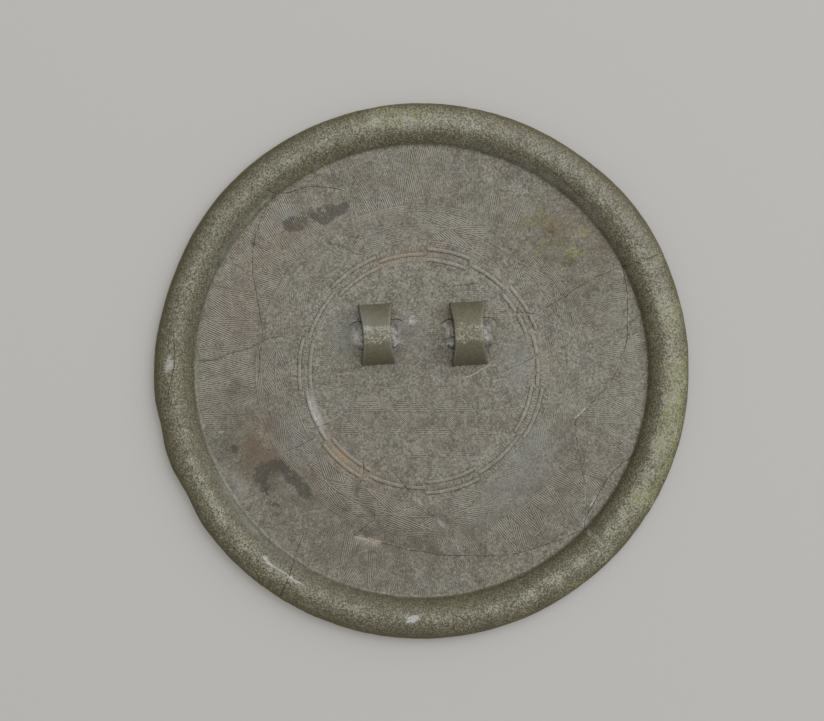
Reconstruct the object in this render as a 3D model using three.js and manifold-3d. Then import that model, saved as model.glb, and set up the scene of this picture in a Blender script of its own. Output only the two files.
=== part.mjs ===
// A cast bronze mirror that lies on its polished face, so its patterned back looks up.
// Millimetres, +Z up. The origin is the middle of the polished face.

import * as THREE from 'three';
import { mergeVertices } from 'three/addons/utils/BufferGeometryUtils.js';
import Module from 'manifold-3d';

const wasm = await Module();
wasm.setup();

// Plate
const DISC_RADIUS = 75.0;
const PLATE_THICKNESS = 2.2;
const FACE_EDGE_ROUND = 0.7;
const FACE_EDGE_STEPS = 2;
const DISC_SEGMENTS = 80;

// Rim: half-round outside, and on the inside a steadier slope, whose roundness of 2 would be an
// ellipse and of 1 a straight line
const RIM_WIDTH = 11.7;
const RIM_CREST_INSET = 5.6;
const RIM_RISE = 4.2;
const RIM_EDGE_RISE = 1.1;
const RIM_INNER_ROUNDNESS = 1.5;
const RIM_STEPS = 5;

// Where the edge runs fuller or flatter than a circle: direction and reach in degrees, rise in mm
const EDGE_SWELLS = [
  { at: 36, reach: 22, rise: 0.55 },
  { at: 160, reach: 22, rise: -0.65 },
  { at: 192, reach: 6, rise: -0.5 },
  { at: 208, reach: 8, rise: -0.8 },
];

// Ring of three rows of smooth bars. A block is a stretch of the ring between two of these
// directions, in degrees, and the blocks were laid out by eye.
const RING_INNER_RADIUS = 30.4;
const RING_ROWS = 3;
const RING_ROW_WIDTH = 1.5;
const BAR_SIDE_GAP = 0.15;
const BAR_END_GAP = 0.5;
const BAR_RISE = 0.35;
const BAR_STEP_DEGREES = 6.5;
const BLOCK_ENDS = [
  -1, 19.8, 43.8, 66, 87.5, 111.5, 137.5, 163.8, 189.5, 216.5, 243.5, 272, 298.8, 326.5, 352.3,
];

// Raised lines of the two pattern bands outside the ring
const LINE_WIDTH = 0.45;
const LINE_CREST_WIDTH = 0.225;
const LINE_RISE = 0.25;
const LINE_SEGMENTS = 60;
const RING_MARGIN = 1.4;
const LOZENGE_ROW_WIDTH = 4.5;
const LOZENGE_COUNT = 12;
const LOZENGE_FIRST = 4.5;
const LOZENGE_OUTER_ROW_WIDTH = 4.0;
const BORDER_WIDTH = 1.4;
const RAY_COUNT = 44;
const RAY_FIRST = -1.4;

// Strap loops: middle of each on the plate, turn in degrees, length along the strap and widths
const LOOPS = [
  { x: -12.35, y: 10.2, turn: 3.8, length: 17.2, endWidth: 9.3, waistWidth: 7.6 },
  { x: 13.3, y: 10.5, turn: 3.1, length: 17.9, endWidth: 9.8, waistWidth: 7.85 },
];
const LOOP_RISE = 7.0;
const STRAP_THICKNESS = 1.7;
const STRAP_FOOT = 2.4;
const STRAP_EDGE_ROUND = 0.4;
const ARCH_SHOULDER = 2.2;
const ARCH_SLOPE = 0.85;
const ARCH_STEPS = 14;
const WAIST_STEPS = 2;

// Shallow hollow that the casting core of each passage left in the plate
const CORE_REACH = 3.5;
const CORE_WIDTH = 8.0;
const CORE_DEPTH = 0.45;
const CORE_SEGMENTS = 16;
const CORE_ROWS = 8;

// How far a raised form is sunk into the plate so that the two join
const ROOT = 0.6;

// Points nearer than this are one point
const WELD_DISTANCE = 1e-4;

const FIELD_RADIUS = DISC_RADIUS - RIM_WIDTH;
const LOZENGE_INNER_RADIUS = RING_INNER_RADIUS + RING_ROWS * RING_ROW_WIDTH + RING_MARGIN;
const LOZENGE_MIDDLE_RADIUS = LOZENGE_INNER_RADIUS + LOZENGE_ROW_WIDTH;
const LOZENGE_OUTER_RADIUS = LOZENGE_MIDDLE_RADIUS + LOZENGE_OUTER_ROW_WIDTH;
const RAY_INNER_RADIUS = LOZENGE_OUTER_RADIUS + BORDER_WIDTH;

const radians = THREE.MathUtils.degToRad;

/** A closed three.js geometry as a solid that can be joined and cut. */
function solidOf(geometry) {
  geometry.deleteAttribute('normal');
  geometry.deleteAttribute('uv');
  const merged = mergeVertices(geometry, WELD_DISTANCE);
  const corners = merged.index.array;
  const kept = [];
  for (let i = 0; i < corners.length; i += 3) {
    const [a, b, c] = corners.slice(i, i + 3);
    if (a !== b && b !== c && c !== a) kept.push(a, b, c);
  }
  return new wasm.Manifold(new wasm.Mesh({
    numProp: 3,
    vertProperties: new Float32Array(merged.attributes.position.array),
    triVerts: new Uint32Array(kept),
  }));
}

/** A solid as a three.js geometry. */
function geometryOf(solid) {
  const mesh = solid.getMesh();
  const geometry = new THREE.BufferGeometry();
  geometry.setAttribute('position', new THREE.BufferAttribute(mesh.vertProperties, 3));
  geometry.setIndex(new THREE.BufferAttribute(mesh.triVerts, 1));
  geometry.computeVertexNormals();
  return geometry;
}

/** Distance from the middle to the outer edge in a direction given in radians. */
function edgeRadius(angle) {
  let radius = DISC_RADIUS;
  for (const { at, reach, rise } of EDGE_SWELLS) {
    const turn = THREE.MathUtils.euclideanModulo(angle - radians(at) + Math.PI, 2 * Math.PI) - Math.PI;
    const share = Math.min(Math.abs(turn) / radians(reach), 1);
    radius += rise * 0.5 * (1 + Math.cos(Math.PI * share));
  }
  return radius;
}

/** Curve about a middle from one angle to another, without its first point: an ellipse or flatter. */
function sweep(middleX, middleY, radiusX, radiusY, from, to, steps, roundness = 2) {
  const shaped = (value) => Math.sign(value) * Math.abs(value) ** (2 / roundness);
  const points = [];
  for (let i = 1; i <= steps; i += 1) {
    const angle = from + (to - from) * i / steps;
    points.push(new THREE.Vector2(
      middleX + radiusX * shaped(Math.cos(angle)), middleY + radiusY * shaped(Math.sin(angle))));
  }
  return points;
}

/** Plate and rim as one turned solid, with the outer edge pushed out to the real outline. */
function plateWithRim() {
  const crestRadius = DISC_RADIUS - RIM_CREST_INSET;
  const edgeHeight = FACE_EDGE_ROUND + RIM_EDGE_RISE;
  const crestHeight = PLATE_THICKNESS + RIM_RISE;
  const profile = [
    new THREE.Vector2(0, 0),
    new THREE.Vector2(DISC_RADIUS - FACE_EDGE_ROUND, 0),
    ...sweep(DISC_RADIUS - FACE_EDGE_ROUND, FACE_EDGE_ROUND, FACE_EDGE_ROUND, FACE_EDGE_ROUND,
      -Math.PI / 2, 0, FACE_EDGE_STEPS),
    new THREE.Vector2(DISC_RADIUS, edgeHeight),
    ...sweep(crestRadius, edgeHeight, RIM_CREST_INSET, crestHeight - edgeHeight,
      0, Math.PI / 2, RIM_STEPS),
    ...sweep(crestRadius, PLATE_THICKNESS, crestRadius - FIELD_RADIUS, RIM_RISE,
      Math.PI / 2, Math.PI, RIM_STEPS, RIM_INNER_ROUNDNESS),
    new THREE.Vector2(0, PLATE_THICKNESS),
  ];
  const geometry = new THREE.LatheGeometry(profile, DISC_SEGMENTS).rotateX(Math.PI / 2);
  const position = geometry.attributes.position;
  for (let i = 0; i < position.count; i += 1) {
    const radius = Math.hypot(position.getX(i), position.getY(i));
    if (radius <= FIELD_RADIUS) continue;
    const angle = Math.atan2(position.getY(i), position.getX(i));
    const moved = radius + (edgeRadius(angle) - DISC_RADIUS) * (radius - FIELD_RADIUS) / RIM_WIDTH;
    position.setX(i, moved * Math.cos(angle));
    position.setY(i, moved * Math.sin(angle));
  }
  return solidOf(geometry);
}

/** Smooth bar of the ring: a row number, counted outwards from 0, and its two ends in degrees. */
function bar(row, start, end) {
  const inner = RING_INNER_RADIUS + row * RING_ROW_WIDTH + BAR_SIDE_GAP;
  const outer = inner + RING_ROW_WIDTH - 2 * BAR_SIDE_GAP;
  const endGap = BAR_END_GAP / RING_INNER_RADIUS;
  const from = radians(start) + endGap / 2;
  const to = radians(end) - endGap / 2;
  const steps = Math.max(1, Math.round((end - start) / BAR_STEP_DEGREES));
  const outline = new THREE.Shape([
    new THREE.Vector2(outer * Math.cos(from), outer * Math.sin(from)),
    ...sweep(0, 0, outer, outer, from, to, steps),
    new THREE.Vector2(inner * Math.cos(to), inner * Math.sin(to)),
    ...sweep(0, 0, inner, inner, to, from, steps),
  ]);
  return solidOf(new THREE.ExtrudeGeometry(outline, { depth: ROOT + BAR_RISE, bevelEnabled: false })
    .translate(0, 0, PLATE_THICKNESS - ROOT));
}

/** All bars of the ring: blocks with one middle bar take turns with blocks of an inner and an outer one. */
function ringOfBars() {
  const bars = [];
  BLOCK_ENDS.forEach((start, block) => {
    const last = block === BLOCK_ENDS.length - 1;
    const end = last ? BLOCK_ENDS[0] + 360 : BLOCK_ENDS[block + 1];
    const rows = block % 2 === 0 ? [1] : [0, 2];
    rows.forEach((row) => bars.push(bar(row, start, end)));
  });
  return bars;
}

/** Raised circle round the middle of the plate. */
function circleLine(radius) {
  const top = PLATE_THICKNESS + LINE_RISE;
  const base = PLATE_THICKNESS - ROOT;
  const section = [
    new THREE.Vector2(radius - LINE_WIDTH / 2, base),
    new THREE.Vector2(radius + LINE_WIDTH / 2, base),
    new THREE.Vector2(radius + LINE_CREST_WIDTH / 2, top),
    new THREE.Vector2(radius - LINE_CREST_WIDTH / 2, top),
    new THREE.Vector2(radius - LINE_WIDTH / 2, base),
  ];
  return solidOf(new THREE.LatheGeometry(section, LINE_SEGMENTS).rotateX(Math.PI / 2));
}

/** Raised straight line between two points given by radius and direction in radians. */
function straightLine(startRadius, startAngle, endRadius, endAngle) {
  const start = new THREE.Vector2(startRadius, 0).rotateAround(new THREE.Vector2(), startAngle);
  const end = new THREE.Vector2(endRadius, 0).rotateAround(new THREE.Vector2(), endAngle);
  const along = end.clone().sub(start);
  const geometry = new THREE.BoxGeometry(along.length(), LINE_WIDTH, ROOT + LINE_RISE)
    .rotateZ(along.angle())
    .translate((start.x + end.x) / 2, (start.y + end.y) / 2,
      PLATE_THICKNESS + (LINE_RISE - ROOT) / 2);
  return solidOf(geometry);
}

/** Zigzag of triangles between two circles, with an inner point at a first direction in degrees. */
function zigzag(innerRadius, outerRadius, count, first) {
  const lines = [];
  const half = Math.PI / count;
  for (let i = 0; i < count; i += 1) {
    const point = radians(first) + 2 * half * i;
    lines.push(straightLine(innerRadius, point, outerRadius, point - half));
    lines.push(straightLine(innerRadius, point, outerRadius, point + half));
  }
  return lines;
}

/** Circles and zigzags of the two bands outside the ring of bars. */
function patternBands() {
  const lozengeTurn = 180 / LOZENGE_COUNT;
  return [
    circleLine(LOZENGE_INNER_RADIUS),
    circleLine(LOZENGE_MIDDLE_RADIUS),
    circleLine(LOZENGE_OUTER_RADIUS),
    circleLine(RAY_INNER_RADIUS),
    ...zigzag(LOZENGE_INNER_RADIUS, LOZENGE_MIDDLE_RADIUS, LOZENGE_COUNT, LOZENGE_FIRST),
    ...zigzag(LOZENGE_MIDDLE_RADIUS, LOZENGE_OUTER_RADIUS, LOZENGE_COUNT, LOZENGE_FIRST + lozengeTurn),
    ...zigzag(RAY_INNER_RADIUS, FIELD_RADIUS, RAY_COUNT, RAY_FIRST),
  ];
}

/** Points of an arch from one foot to the other. */
function archPoints(halfLength, rise) {
  const points = [];
  for (let i = 0; i <= ARCH_STEPS; i += 1) {
    const share = Math.cos(Math.PI * i / ARCH_STEPS);
    const height = rise * (1 - Math.abs(share) ** ARCH_SHOULDER) ** ARCH_SLOPE;
    points.push(new THREE.Vector2(halfLength * share, height));
  }
  return points;
}

/** Strap loop: an arch along Y that is open along X and narrower at its middle. */
function strapLoop({ x, y, turn, length, endWidth, waistWidth }) {
  const outer = archPoints(length / 2, LOOP_RISE);
  const inner = archPoints(length / 2 - STRAP_FOOT, LOOP_RISE - STRAP_THICKNESS).reverse();
  const outline = new THREE.Shape([
    new THREE.Vector2(length / 2, -ROOT),
    ...outer,
    new THREE.Vector2(-length / 2, -ROOT),
    new THREE.Vector2(STRAP_FOOT - length / 2, -ROOT),
    ...inner,
    new THREE.Vector2(length / 2 - STRAP_FOOT, -ROOT),
  ]);
  const geometry = new THREE.ExtrudeGeometry(outline, {
    depth: endWidth - 2 * STRAP_EDGE_ROUND,
    steps: WAIST_STEPS,
    bevelThickness: STRAP_EDGE_ROUND,
    bevelSize: STRAP_EDGE_ROUND,
    bevelOffset: -STRAP_EDGE_ROUND,
    bevelSegments: 1,
  }).translate(0, 0, STRAP_EDGE_ROUND - endWidth / 2);
  geometry.applyMatrix4(new THREE.Matrix4().makeBasis(
    new THREE.Vector3(0, 1, 0), new THREE.Vector3(0, 0, 1), new THREE.Vector3(1, 0, 0)));
  const position = geometry.attributes.position;
  for (let i = 0; i < position.count; i += 1) {
    const share = Math.min(Math.abs(position.getY(i)) / (length / 2), 1);
    const width = waistWidth + (endWidth - waistWidth) * share ** 2;
    position.setX(i, position.getX(i) * width / endWidth);
  }
  return solidOf(geometry.rotateZ(radians(turn)).translate(x, y, PLATE_THICKNESS));
}

/** Shallow hollow in the plate under a loop and a little way out on both sides. */
function coreHollow({ x, y, turn, waistWidth }) {
  const geometry = new THREE.SphereGeometry(1, CORE_SEGMENTS, CORE_ROWS)
    .rotateX(Math.PI / 2)
    .scale(waistWidth / 2 + CORE_REACH, CORE_WIDTH / 2, CORE_DEPTH)
    .rotateZ(radians(turn))
    .translate(x, y, PLATE_THICKNESS);
  return solidOf(geometry);
}

const relief = wasm.Manifold.union([...ringOfBars(), ...patternBands(), ...LOOPS.map(strapLoop)]);
const casting = plateWithRim().add(relief).subtract(wasm.Manifold.union(LOOPS.map(coreHollow)));

const bronze = new THREE.MeshStandardMaterial({ color: 0x6b6655, roughness: 0.62, metalness: 0.55 });
const mirror = new THREE.Mesh(geometryOf(casting), bronze);
mirror.name = 'bronze_mirror';

const model = new THREE.Group();
model.add(mirror);

export default model;
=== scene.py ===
"""A cast bronze mirror that lies on its polished face, with its patterned back up.

Metres, +Z up. The origin is the middle of the polished face. Directions on the plate are degrees,
counter-clockwise from +X, as seen from above.
"""

import logging
import math
from dataclasses import dataclass
from enum import Enum
from typing import Callable, Sequence

import bpy
import numpy as np
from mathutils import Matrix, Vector
from mathutils.geometry import delaunay_2d_cdt


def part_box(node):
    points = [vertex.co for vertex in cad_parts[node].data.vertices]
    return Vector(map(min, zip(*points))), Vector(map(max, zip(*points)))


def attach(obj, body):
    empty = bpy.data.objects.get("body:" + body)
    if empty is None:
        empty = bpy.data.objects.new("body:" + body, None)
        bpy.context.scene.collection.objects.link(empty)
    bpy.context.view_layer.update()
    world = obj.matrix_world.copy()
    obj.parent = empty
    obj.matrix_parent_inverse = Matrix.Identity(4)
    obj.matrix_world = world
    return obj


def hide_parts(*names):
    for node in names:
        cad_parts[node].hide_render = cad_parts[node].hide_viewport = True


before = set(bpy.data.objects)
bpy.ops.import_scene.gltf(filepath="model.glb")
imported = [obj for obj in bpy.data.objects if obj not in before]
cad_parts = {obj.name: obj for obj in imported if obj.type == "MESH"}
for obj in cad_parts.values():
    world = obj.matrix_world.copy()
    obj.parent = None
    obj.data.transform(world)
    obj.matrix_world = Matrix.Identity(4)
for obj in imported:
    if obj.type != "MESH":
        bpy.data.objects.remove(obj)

log = logging.getLogger("bronze_mirror")

MM = 0.001
BODY = "root"
CASTING_NODE = "bronze_mirror"

# A face belongs to the polished face where its normal points below the first and it lies under the second
DOWNWARDS = -0.8
FACE_LEVEL = 0.4 * MM

Colour = tuple[float, float, float, float]
Polar = tuple[float, float]
Array = np.ndarray
Piece = bpy.types.Object
Socket = bpy.types.NodeSocket


def tint(red: int, green: int, blue: int) -> Colour:
    """Turns a colour as a screen shows it, 0 to 255, into linear light.

    Args:
        red: Red part.
        green: Green part.
        blue: Blue part.

    Returns:
        Linear red, green, blue and an alpha of one.
    """
    parts = [part / 255 for part in (red, green, blue)]
    linear = [part / 12.92 if part <= 0.04045 else ((part + 0.055) / 1.055) ** 2.4 for part in parts]
    return (linear[0], linear[1], linear[2], 1.0)


def eased(share: Array) -> Array:
    """Clamps a share to the range from 0 to 1 and eases it at both ends."""
    clamped = np.clip(share, 0.0, 1.0)
    return clamped * clamped * (3.0 - 2.0 * clamped)


def between(value: Array, low: float, high: float, soft: float) -> Array:
    """One between two limits and zero outside them, with ends that are soft over a width."""
    return eased((value - low) / soft + 0.5) * eased((high - value) / soft + 0.5)


def turn_between(angle: Array, direction: float) -> Array:
    """Signed turn in radians from a direction in degrees to angles in radians."""
    return (angle - math.radians(direction) + math.pi) % (2 * math.pi) - math.pi


def polar_point(radius: float, direction: float) -> Array:
    """Plan point at a radius and a direction in degrees."""
    angle = math.radians(direction)
    return np.array([radius * math.cos(angle), radius * math.sin(angle)])


def polar(points: Array) -> tuple[Array, Array]:
    """Radii and directions in radians of points, as seen from above."""
    return np.hypot(points[:, 0], points[:, 1]), np.arctan2(points[:, 1], points[:, 0])


def from_polar(radius: Array, angle: Array) -> Array:
    """Plan points at radii and directions in radians."""
    return np.column_stack([radius * np.cos(angle), radius * np.sin(angle)])


def turned(points: Array, middle: Array, turn: float) -> Array:
    """Plan points as seen from a middle, along directions turned by a number of degrees."""
    angle = math.radians(turn)
    offset = points[:, :2] - middle
    return np.column_stack([offset[:, 0] * math.cos(angle) + offset[:, 1] * math.sin(angle),
                            offset[:, 1] * math.cos(angle) - offset[:, 0] * math.sin(angle)])


@dataclass(frozen=True)
class NoiseField:
    """Smooth random field over the plane, with values from about -1 to 1.

    The lattice repeats after a number of cells that is larger than the mirror at every size used.
    """

    seed: int
    size: float
    cells: int = 512

    def at(self, points: Array) -> Array:
        """Reads the field.

        Args:
            points: Plan points, one in each row.

        Returns:
            One value for each point.
        """
        lattice = np.random.default_rng(self.seed).uniform(-1.0, 1.0, (self.cells, self.cells))
        place = points / self.size
        low = np.floor(place).astype(int)
        share = eased(place - low)
        x0, y0 = (low % self.cells).T
        x1, y1 = ((low + 1) % self.cells).T
        near = lattice[x0, y0] * (1 - share[:, 0]) + lattice[x1, y0] * share[:, 0]
        far = lattice[x0, y1] * (1 - share[:, 0]) + lattice[x1, y1] * share[:, 0]
        return near * (1 - share[:, 1]) + far * share[:, 1]

    def layered(self, points: Array, layers: int = 3) -> Array:
        """Sums the field with finer and weaker copies of itself.

        Args:
            points: Plan points, one in each row.
            layers: Number of fields, each half as large and half as strong as the one before.

        Returns:
            One value for each point.
        """
        total = np.zeros(len(points))
        for layer in range(layers):
            finer = NoiseField(self.seed + 101 * layer, self.size / 2 ** layer, self.cells)
            total += finer.at(points) / 2 ** layer
        return total


# Random fields, each with a seed of its own
LONG_WAVES = NoiseField(11, 16 * MM)
SURFACE_GRAIN = NoiseField(12, 2.4 * MM)
HOLLOW_GRAIN = NoiseField(13, 0.8 * MM)
CHIP_EDGES = NoiseField(31, 0.7 * MM)
HOLLOW_EDGES = NoiseField(41, 1.6 * MM)
CREST_EDGES = NoiseField(43, 1.1 * MM)
STRAP_GRAIN = NoiseField(51, 0.9 * MM)
BROAD_WEAR = NoiseField(61, 11 * MM)
FINE_WEAR = NoiseField(62, 2.4 * MM)
BROAD_WANDER = NoiseField(71, 4.5 * MM)
FINE_WANDER = NoiseField(72, 1.1 * MM)
STAIN_EDGES = NoiseField(81, 3.0 * MM)
CRUST_CLUSTERS = NoiseField(82, 9 * MM)
HOLLOW_PATCHES = NoiseField(84, 1.2 * MM)
PALE_STRETCHES = NoiseField(85, 6 * MM)


@dataclass(frozen=True)
class EdgeSwell:
    """Stretch of the outer edge that runs fuller or flatter than a circle."""

    direction: float
    reach: float
    rise: float

    def at(self, angle: Array) -> Array:
        """How far the edge moves outwards at angles in radians."""
        share = np.minimum(np.abs(turn_between(angle, self.direction)) / math.radians(self.reach), 1.0)
        return self.rise * 0.5 * (1.0 + np.cos(math.pi * share))


EDGE_SWELLS = (
    EdgeSwell(36, 22, 0.55 * MM),
    EdgeSwell(160, 22, -0.65 * MM),
    EdgeSwell(192, 6, -0.5 * MM),
    EdgeSwell(208, 8, -0.8 * MM),
)


class Section:
    """Section through plate and rim, from the middle of the back over the rim to the polished face.

    The section is read by its run: the length along it from the middle of the back. A plan drawn with
    the run as its radius is the developed plan, in which the rim is rolled out flat.
    """

    disc_radius = 74.95 * MM
    thickness = 2.2 * MM
    face_round = 0.7 * MM
    rim_width = 11.65 * MM
    crest_inset = 5.6 * MM
    rim_rise = 4.17 * MM
    inner_roundness = 1.5
    edge_rise = 1.1 * MM
    softening = 1.5 * MM
    sample = 0.1 * MM
    face_run = 3.0 * MM

    def __init__(self) -> None:
        """Works out the section as closely spaced points."""
        self.field_radius = self.disc_radius - self.rim_width
        crest_radius = self.disc_radius - self.crest_inset
        edge_height = self.face_round + self.edge_rise
        crest_height = self.thickness + self.rim_rise
        corner = self.disc_radius - self.face_round
        turn = np.linspace(0.0, math.pi / 2, 40)
        power = 2.0 / self.inner_roundness
        inner = np.column_stack([
            crest_radius - (crest_radius - self.field_radius) * np.abs(np.cos(turn)) ** power,
            self.thickness + self.rim_rise * np.abs(np.sin(turn)) ** power])
        outer = np.column_stack([
            crest_radius + self.crest_inset * np.sin(turn),
            edge_height + (crest_height - edge_height) * np.cos(turn)])
        rounded = np.column_stack([
            corner + self.face_round * np.cos(turn),
            self.face_round - self.face_round * np.sin(turn)])
        middle = np.array([[0.0, self.thickness]])
        face = np.array([[corner - self.face_run, 0.0]])
        corners = np.vstack([middle, inner, outer, rounded, face])
        lengths = np.concatenate([[0.0], np.cumsum(np.hypot(*np.diff(corners, axis=0).T))])
        run = np.arange(0.0, lengths[-1], self.sample)
        line = self._softened(np.column_stack([np.interp(run, lengths, each) for each in corners.T]))
        self.last_run = float(lengths[-1] - self.face_run * 0.75)
        kept = run <= self.last_run
        self.run = run[kept]
        self.line = line[kept]
        along = np.gradient(self.line, self.sample, axis=0)
        along /= np.linalg.norm(along, axis=1)[:, None]
        self.outward = np.column_stack([-along[:, 1], along[:, 0]])
        self.last_radius = float(self.line[-1, 0])

    def _softened(self, line: Array) -> Array:
        """Rounds the corners of the section with a short moving average, and keeps its ends."""
        window = int(self.softening / self.sample) | 1
        weights = np.hanning(window + 2)[1:-1]
        weights /= weights.sum()
        half = window // 2
        soft = line.copy()
        for axis in range(2):
            soft[half:-half, axis] = np.convolve(line[:, axis], weights, "valid")
        return soft

    def swell(self, angle: Array, radius: Array) -> Array:
        """Outward shift of the rim at directions in radians, from none at its foot to all at its edge."""
        share = np.clip((radius - self.field_radius) / self.rim_width, 0.0, None)
        return sum(swell.at(angle) for swell in EDGE_SWELLS) * share

    def place(self, plan: Array, height: Array) -> Array:
        """Puts points of the developed plan on the casting.

        Args:
            plan: Points of the developed plan.
            height: How far each stands out from the smooth surface.

        Returns:
            Points in space.
        """
        run, angle = polar(plan)
        radius = np.interp(run, self.run, self.line[:, 0])
        level = np.interp(run, self.run, self.line[:, 1])
        radius = radius + self.swell(angle, radius) + height * np.interp(run, self.run, self.outward[:, 0])
        level = level + height * np.interp(run, self.run, self.outward[:, 1])
        return np.column_stack([from_polar(radius, angle), level])

    def developed(self, points: Array) -> Array:
        """Finds the developed plan of points on the casting.

        Args:
            points: Points in space on the back or the rim.

        Returns:
            Their points on the developed plan.
        """
        radius, angle = polar(points)
        run = radius.copy()
        rim = self.run > self.field_radius - self.softening
        stations = self.line[rim]
        runs = self.run[rim]
        on_rim = np.flatnonzero(radius > self.field_radius)
        for part in np.array_split(on_rim, max(1, len(on_rim) // 4000)):
            moved = stations[None, :, 0] + self.swell(angle[part][:, None], stations[None, :, 0])
            outwards = moved - radius[part][:, None]
            upwards = stations[None, :, 1] - points[part, 2][:, None]
            run[part] = runs[np.argmin(outwards ** 2 + upwards ** 2, axis=1)]
        return from_polar(run, angle)

    def run_at(self, radius: float) -> float:
        """Run on the back at a plan radius."""
        outermost = int(np.argmax(self.line[:, 0]))
        return float(np.interp(radius, self.line[:outermost, 0], self.run[:outermost]))


def resampled(path: Array, step: float) -> Array:
    """Spreads points evenly along a path.

    Args:
        path: Points of the path.
        step: Distance wanted between points.

    Returns:
        The new points, with the same two ends.
    """
    lengths = np.concatenate([[0.0], np.cumsum(np.linalg.norm(np.diff(path, axis=0), axis=1))])
    count = max(2, int(round(lengths[-1] / step)) + 1)
    places = np.linspace(0.0, lengths[-1], count)
    return np.column_stack([np.interp(places, lengths, each) for each in path.T])


def smooth_path(corners: Array, steps: int = 12) -> Array:
    """Curve through points, by Catmull and Rom's rule.

    Args:
        corners: Points that the curve passes through.
        steps: Number of steps between two of them.

    Returns:
        Points of the curve.
    """
    padded = np.vstack([2 * corners[0] - corners[1], corners, 2 * corners[-1] - corners[-2]])
    share = np.linspace(0.0, 1.0, steps, endpoint=False)[:, None]
    pieces = []
    for a, b, c, d in zip(padded, padded[1:], padded[2:], padded[3:]):
        pieces.append(0.5 * (2 * b + (c - a) * share + (2 * a - 5 * b + 4 * c - d) * share ** 2
                             + (3 * b - a - 3 * c + d) * share ** 3))
    return np.vstack([*pieces, corners[-1:]])


def path_sides(path: Array) -> Array:
    """Unit vectors to the left of a path at each of its points."""
    along = np.gradient(path, axis=0)
    along /= np.linalg.norm(along, axis=1)[:, None]
    return np.column_stack([-along[:, 1], along[:, 0]])


def distance_to_path(points: Array, path: Array, reach: float) -> tuple[Array, Array]:
    """Distance from points to a path.

    Args:
        points: Plan points.
        path: Points of the path.
        reach: Distance beyond which nothing is worked out.

    Returns:
        The distance, infinite beyond the reach, with the side, 1 to the left and -1 to the right.
    """
    distance = np.full(len(points), np.inf)
    side = np.zeros(len(points))
    low = path.min(axis=0) - reach
    high = path.max(axis=0) + reach
    near = np.flatnonzero(np.all((points > low) & (points < high), axis=1))
    for start, end in zip(path, path[1:]):
        along = end - start
        offset = points[near] - start
        share = np.clip(offset @ along / (along @ along), 0.0, 1.0)
        away = offset - share[:, None] * along
        length = np.hypot(away[:, 0], away[:, 1])
        closer = length < distance[near]
        chosen = near[closer]
        distance[chosen] = length[closer]
        side[chosen] = np.sign(along[0] * offset[closer, 1] - along[1] * offset[closer, 0])
    return distance, side


@dataclass(frozen=True)
class Break:
    """Crack, mended break or scratch, as a course of radii in millimetres and directions in degrees.

    The lift is how far its left bank stands above its right one, seen along the course. The dark is how
    much painted shade darkens its bottom, and the pale is how light its banks are, or its bottom where
    it is a scratch.
    """

    name: str
    course: tuple[Polar, ...]
    width: float = 0.19 * MM
    depth: float = 0.18 * MM
    lift: float = 0.0
    dark: float = 0.65
    pale: float = 0.0
    over_edge: bool = False
    scratch: bool = False

    def path(self, run_at: Callable[[float], float], last: float, step: float) -> Array:
        """Course as a wandering line.

        Args:
            run_at: Gives the radius on the drawn plan for a radius on the mirror.
            last: Radius on the drawn plan at which a break over the edge ends.
            step: Distance between the line's points.

        Returns:
            Points on the drawn plan.
        """
        course = [(run_at(radius * MM), direction) for radius, direction in self.course]
        if self.over_edge:
            course = [(radius, direction) for radius, direction in course if radius < last - self.depth]
            outermost = max(course)
            place = 0 if outermost == course[0] else len(course)
            course.insert(place, (last, outermost[1]))
        return self.wandering(np.array([polar_point(*corner) for corner in course]), step)

    def wandering(self, corners: Array, step: float) -> Array:
        """Smooth line through corners that strays a little to both sides.

        Args:
            corners: Points of the course on the drawn plan.
            step: Distance between the line's points.

        Returns:
            Points on the drawn plan.
        """
        path = resampled(smooth_path(corners), step)
        shift = BROAD_STRAY * BROAD_WANDER.at(path) + FINE_STRAY * FINE_WANDER.at(path)
        return path + path_sides(path) * shift[:, None]


# Width and depth of the finest cracks, and how far all cracks stray from their smooth course
HAIR = 0.15 * MM
HAIR_DEPTH = 0.12 * MM
BROAD_STRAY = 0.24 * MM
FINE_STRAY = 0.1 * MM

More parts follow.
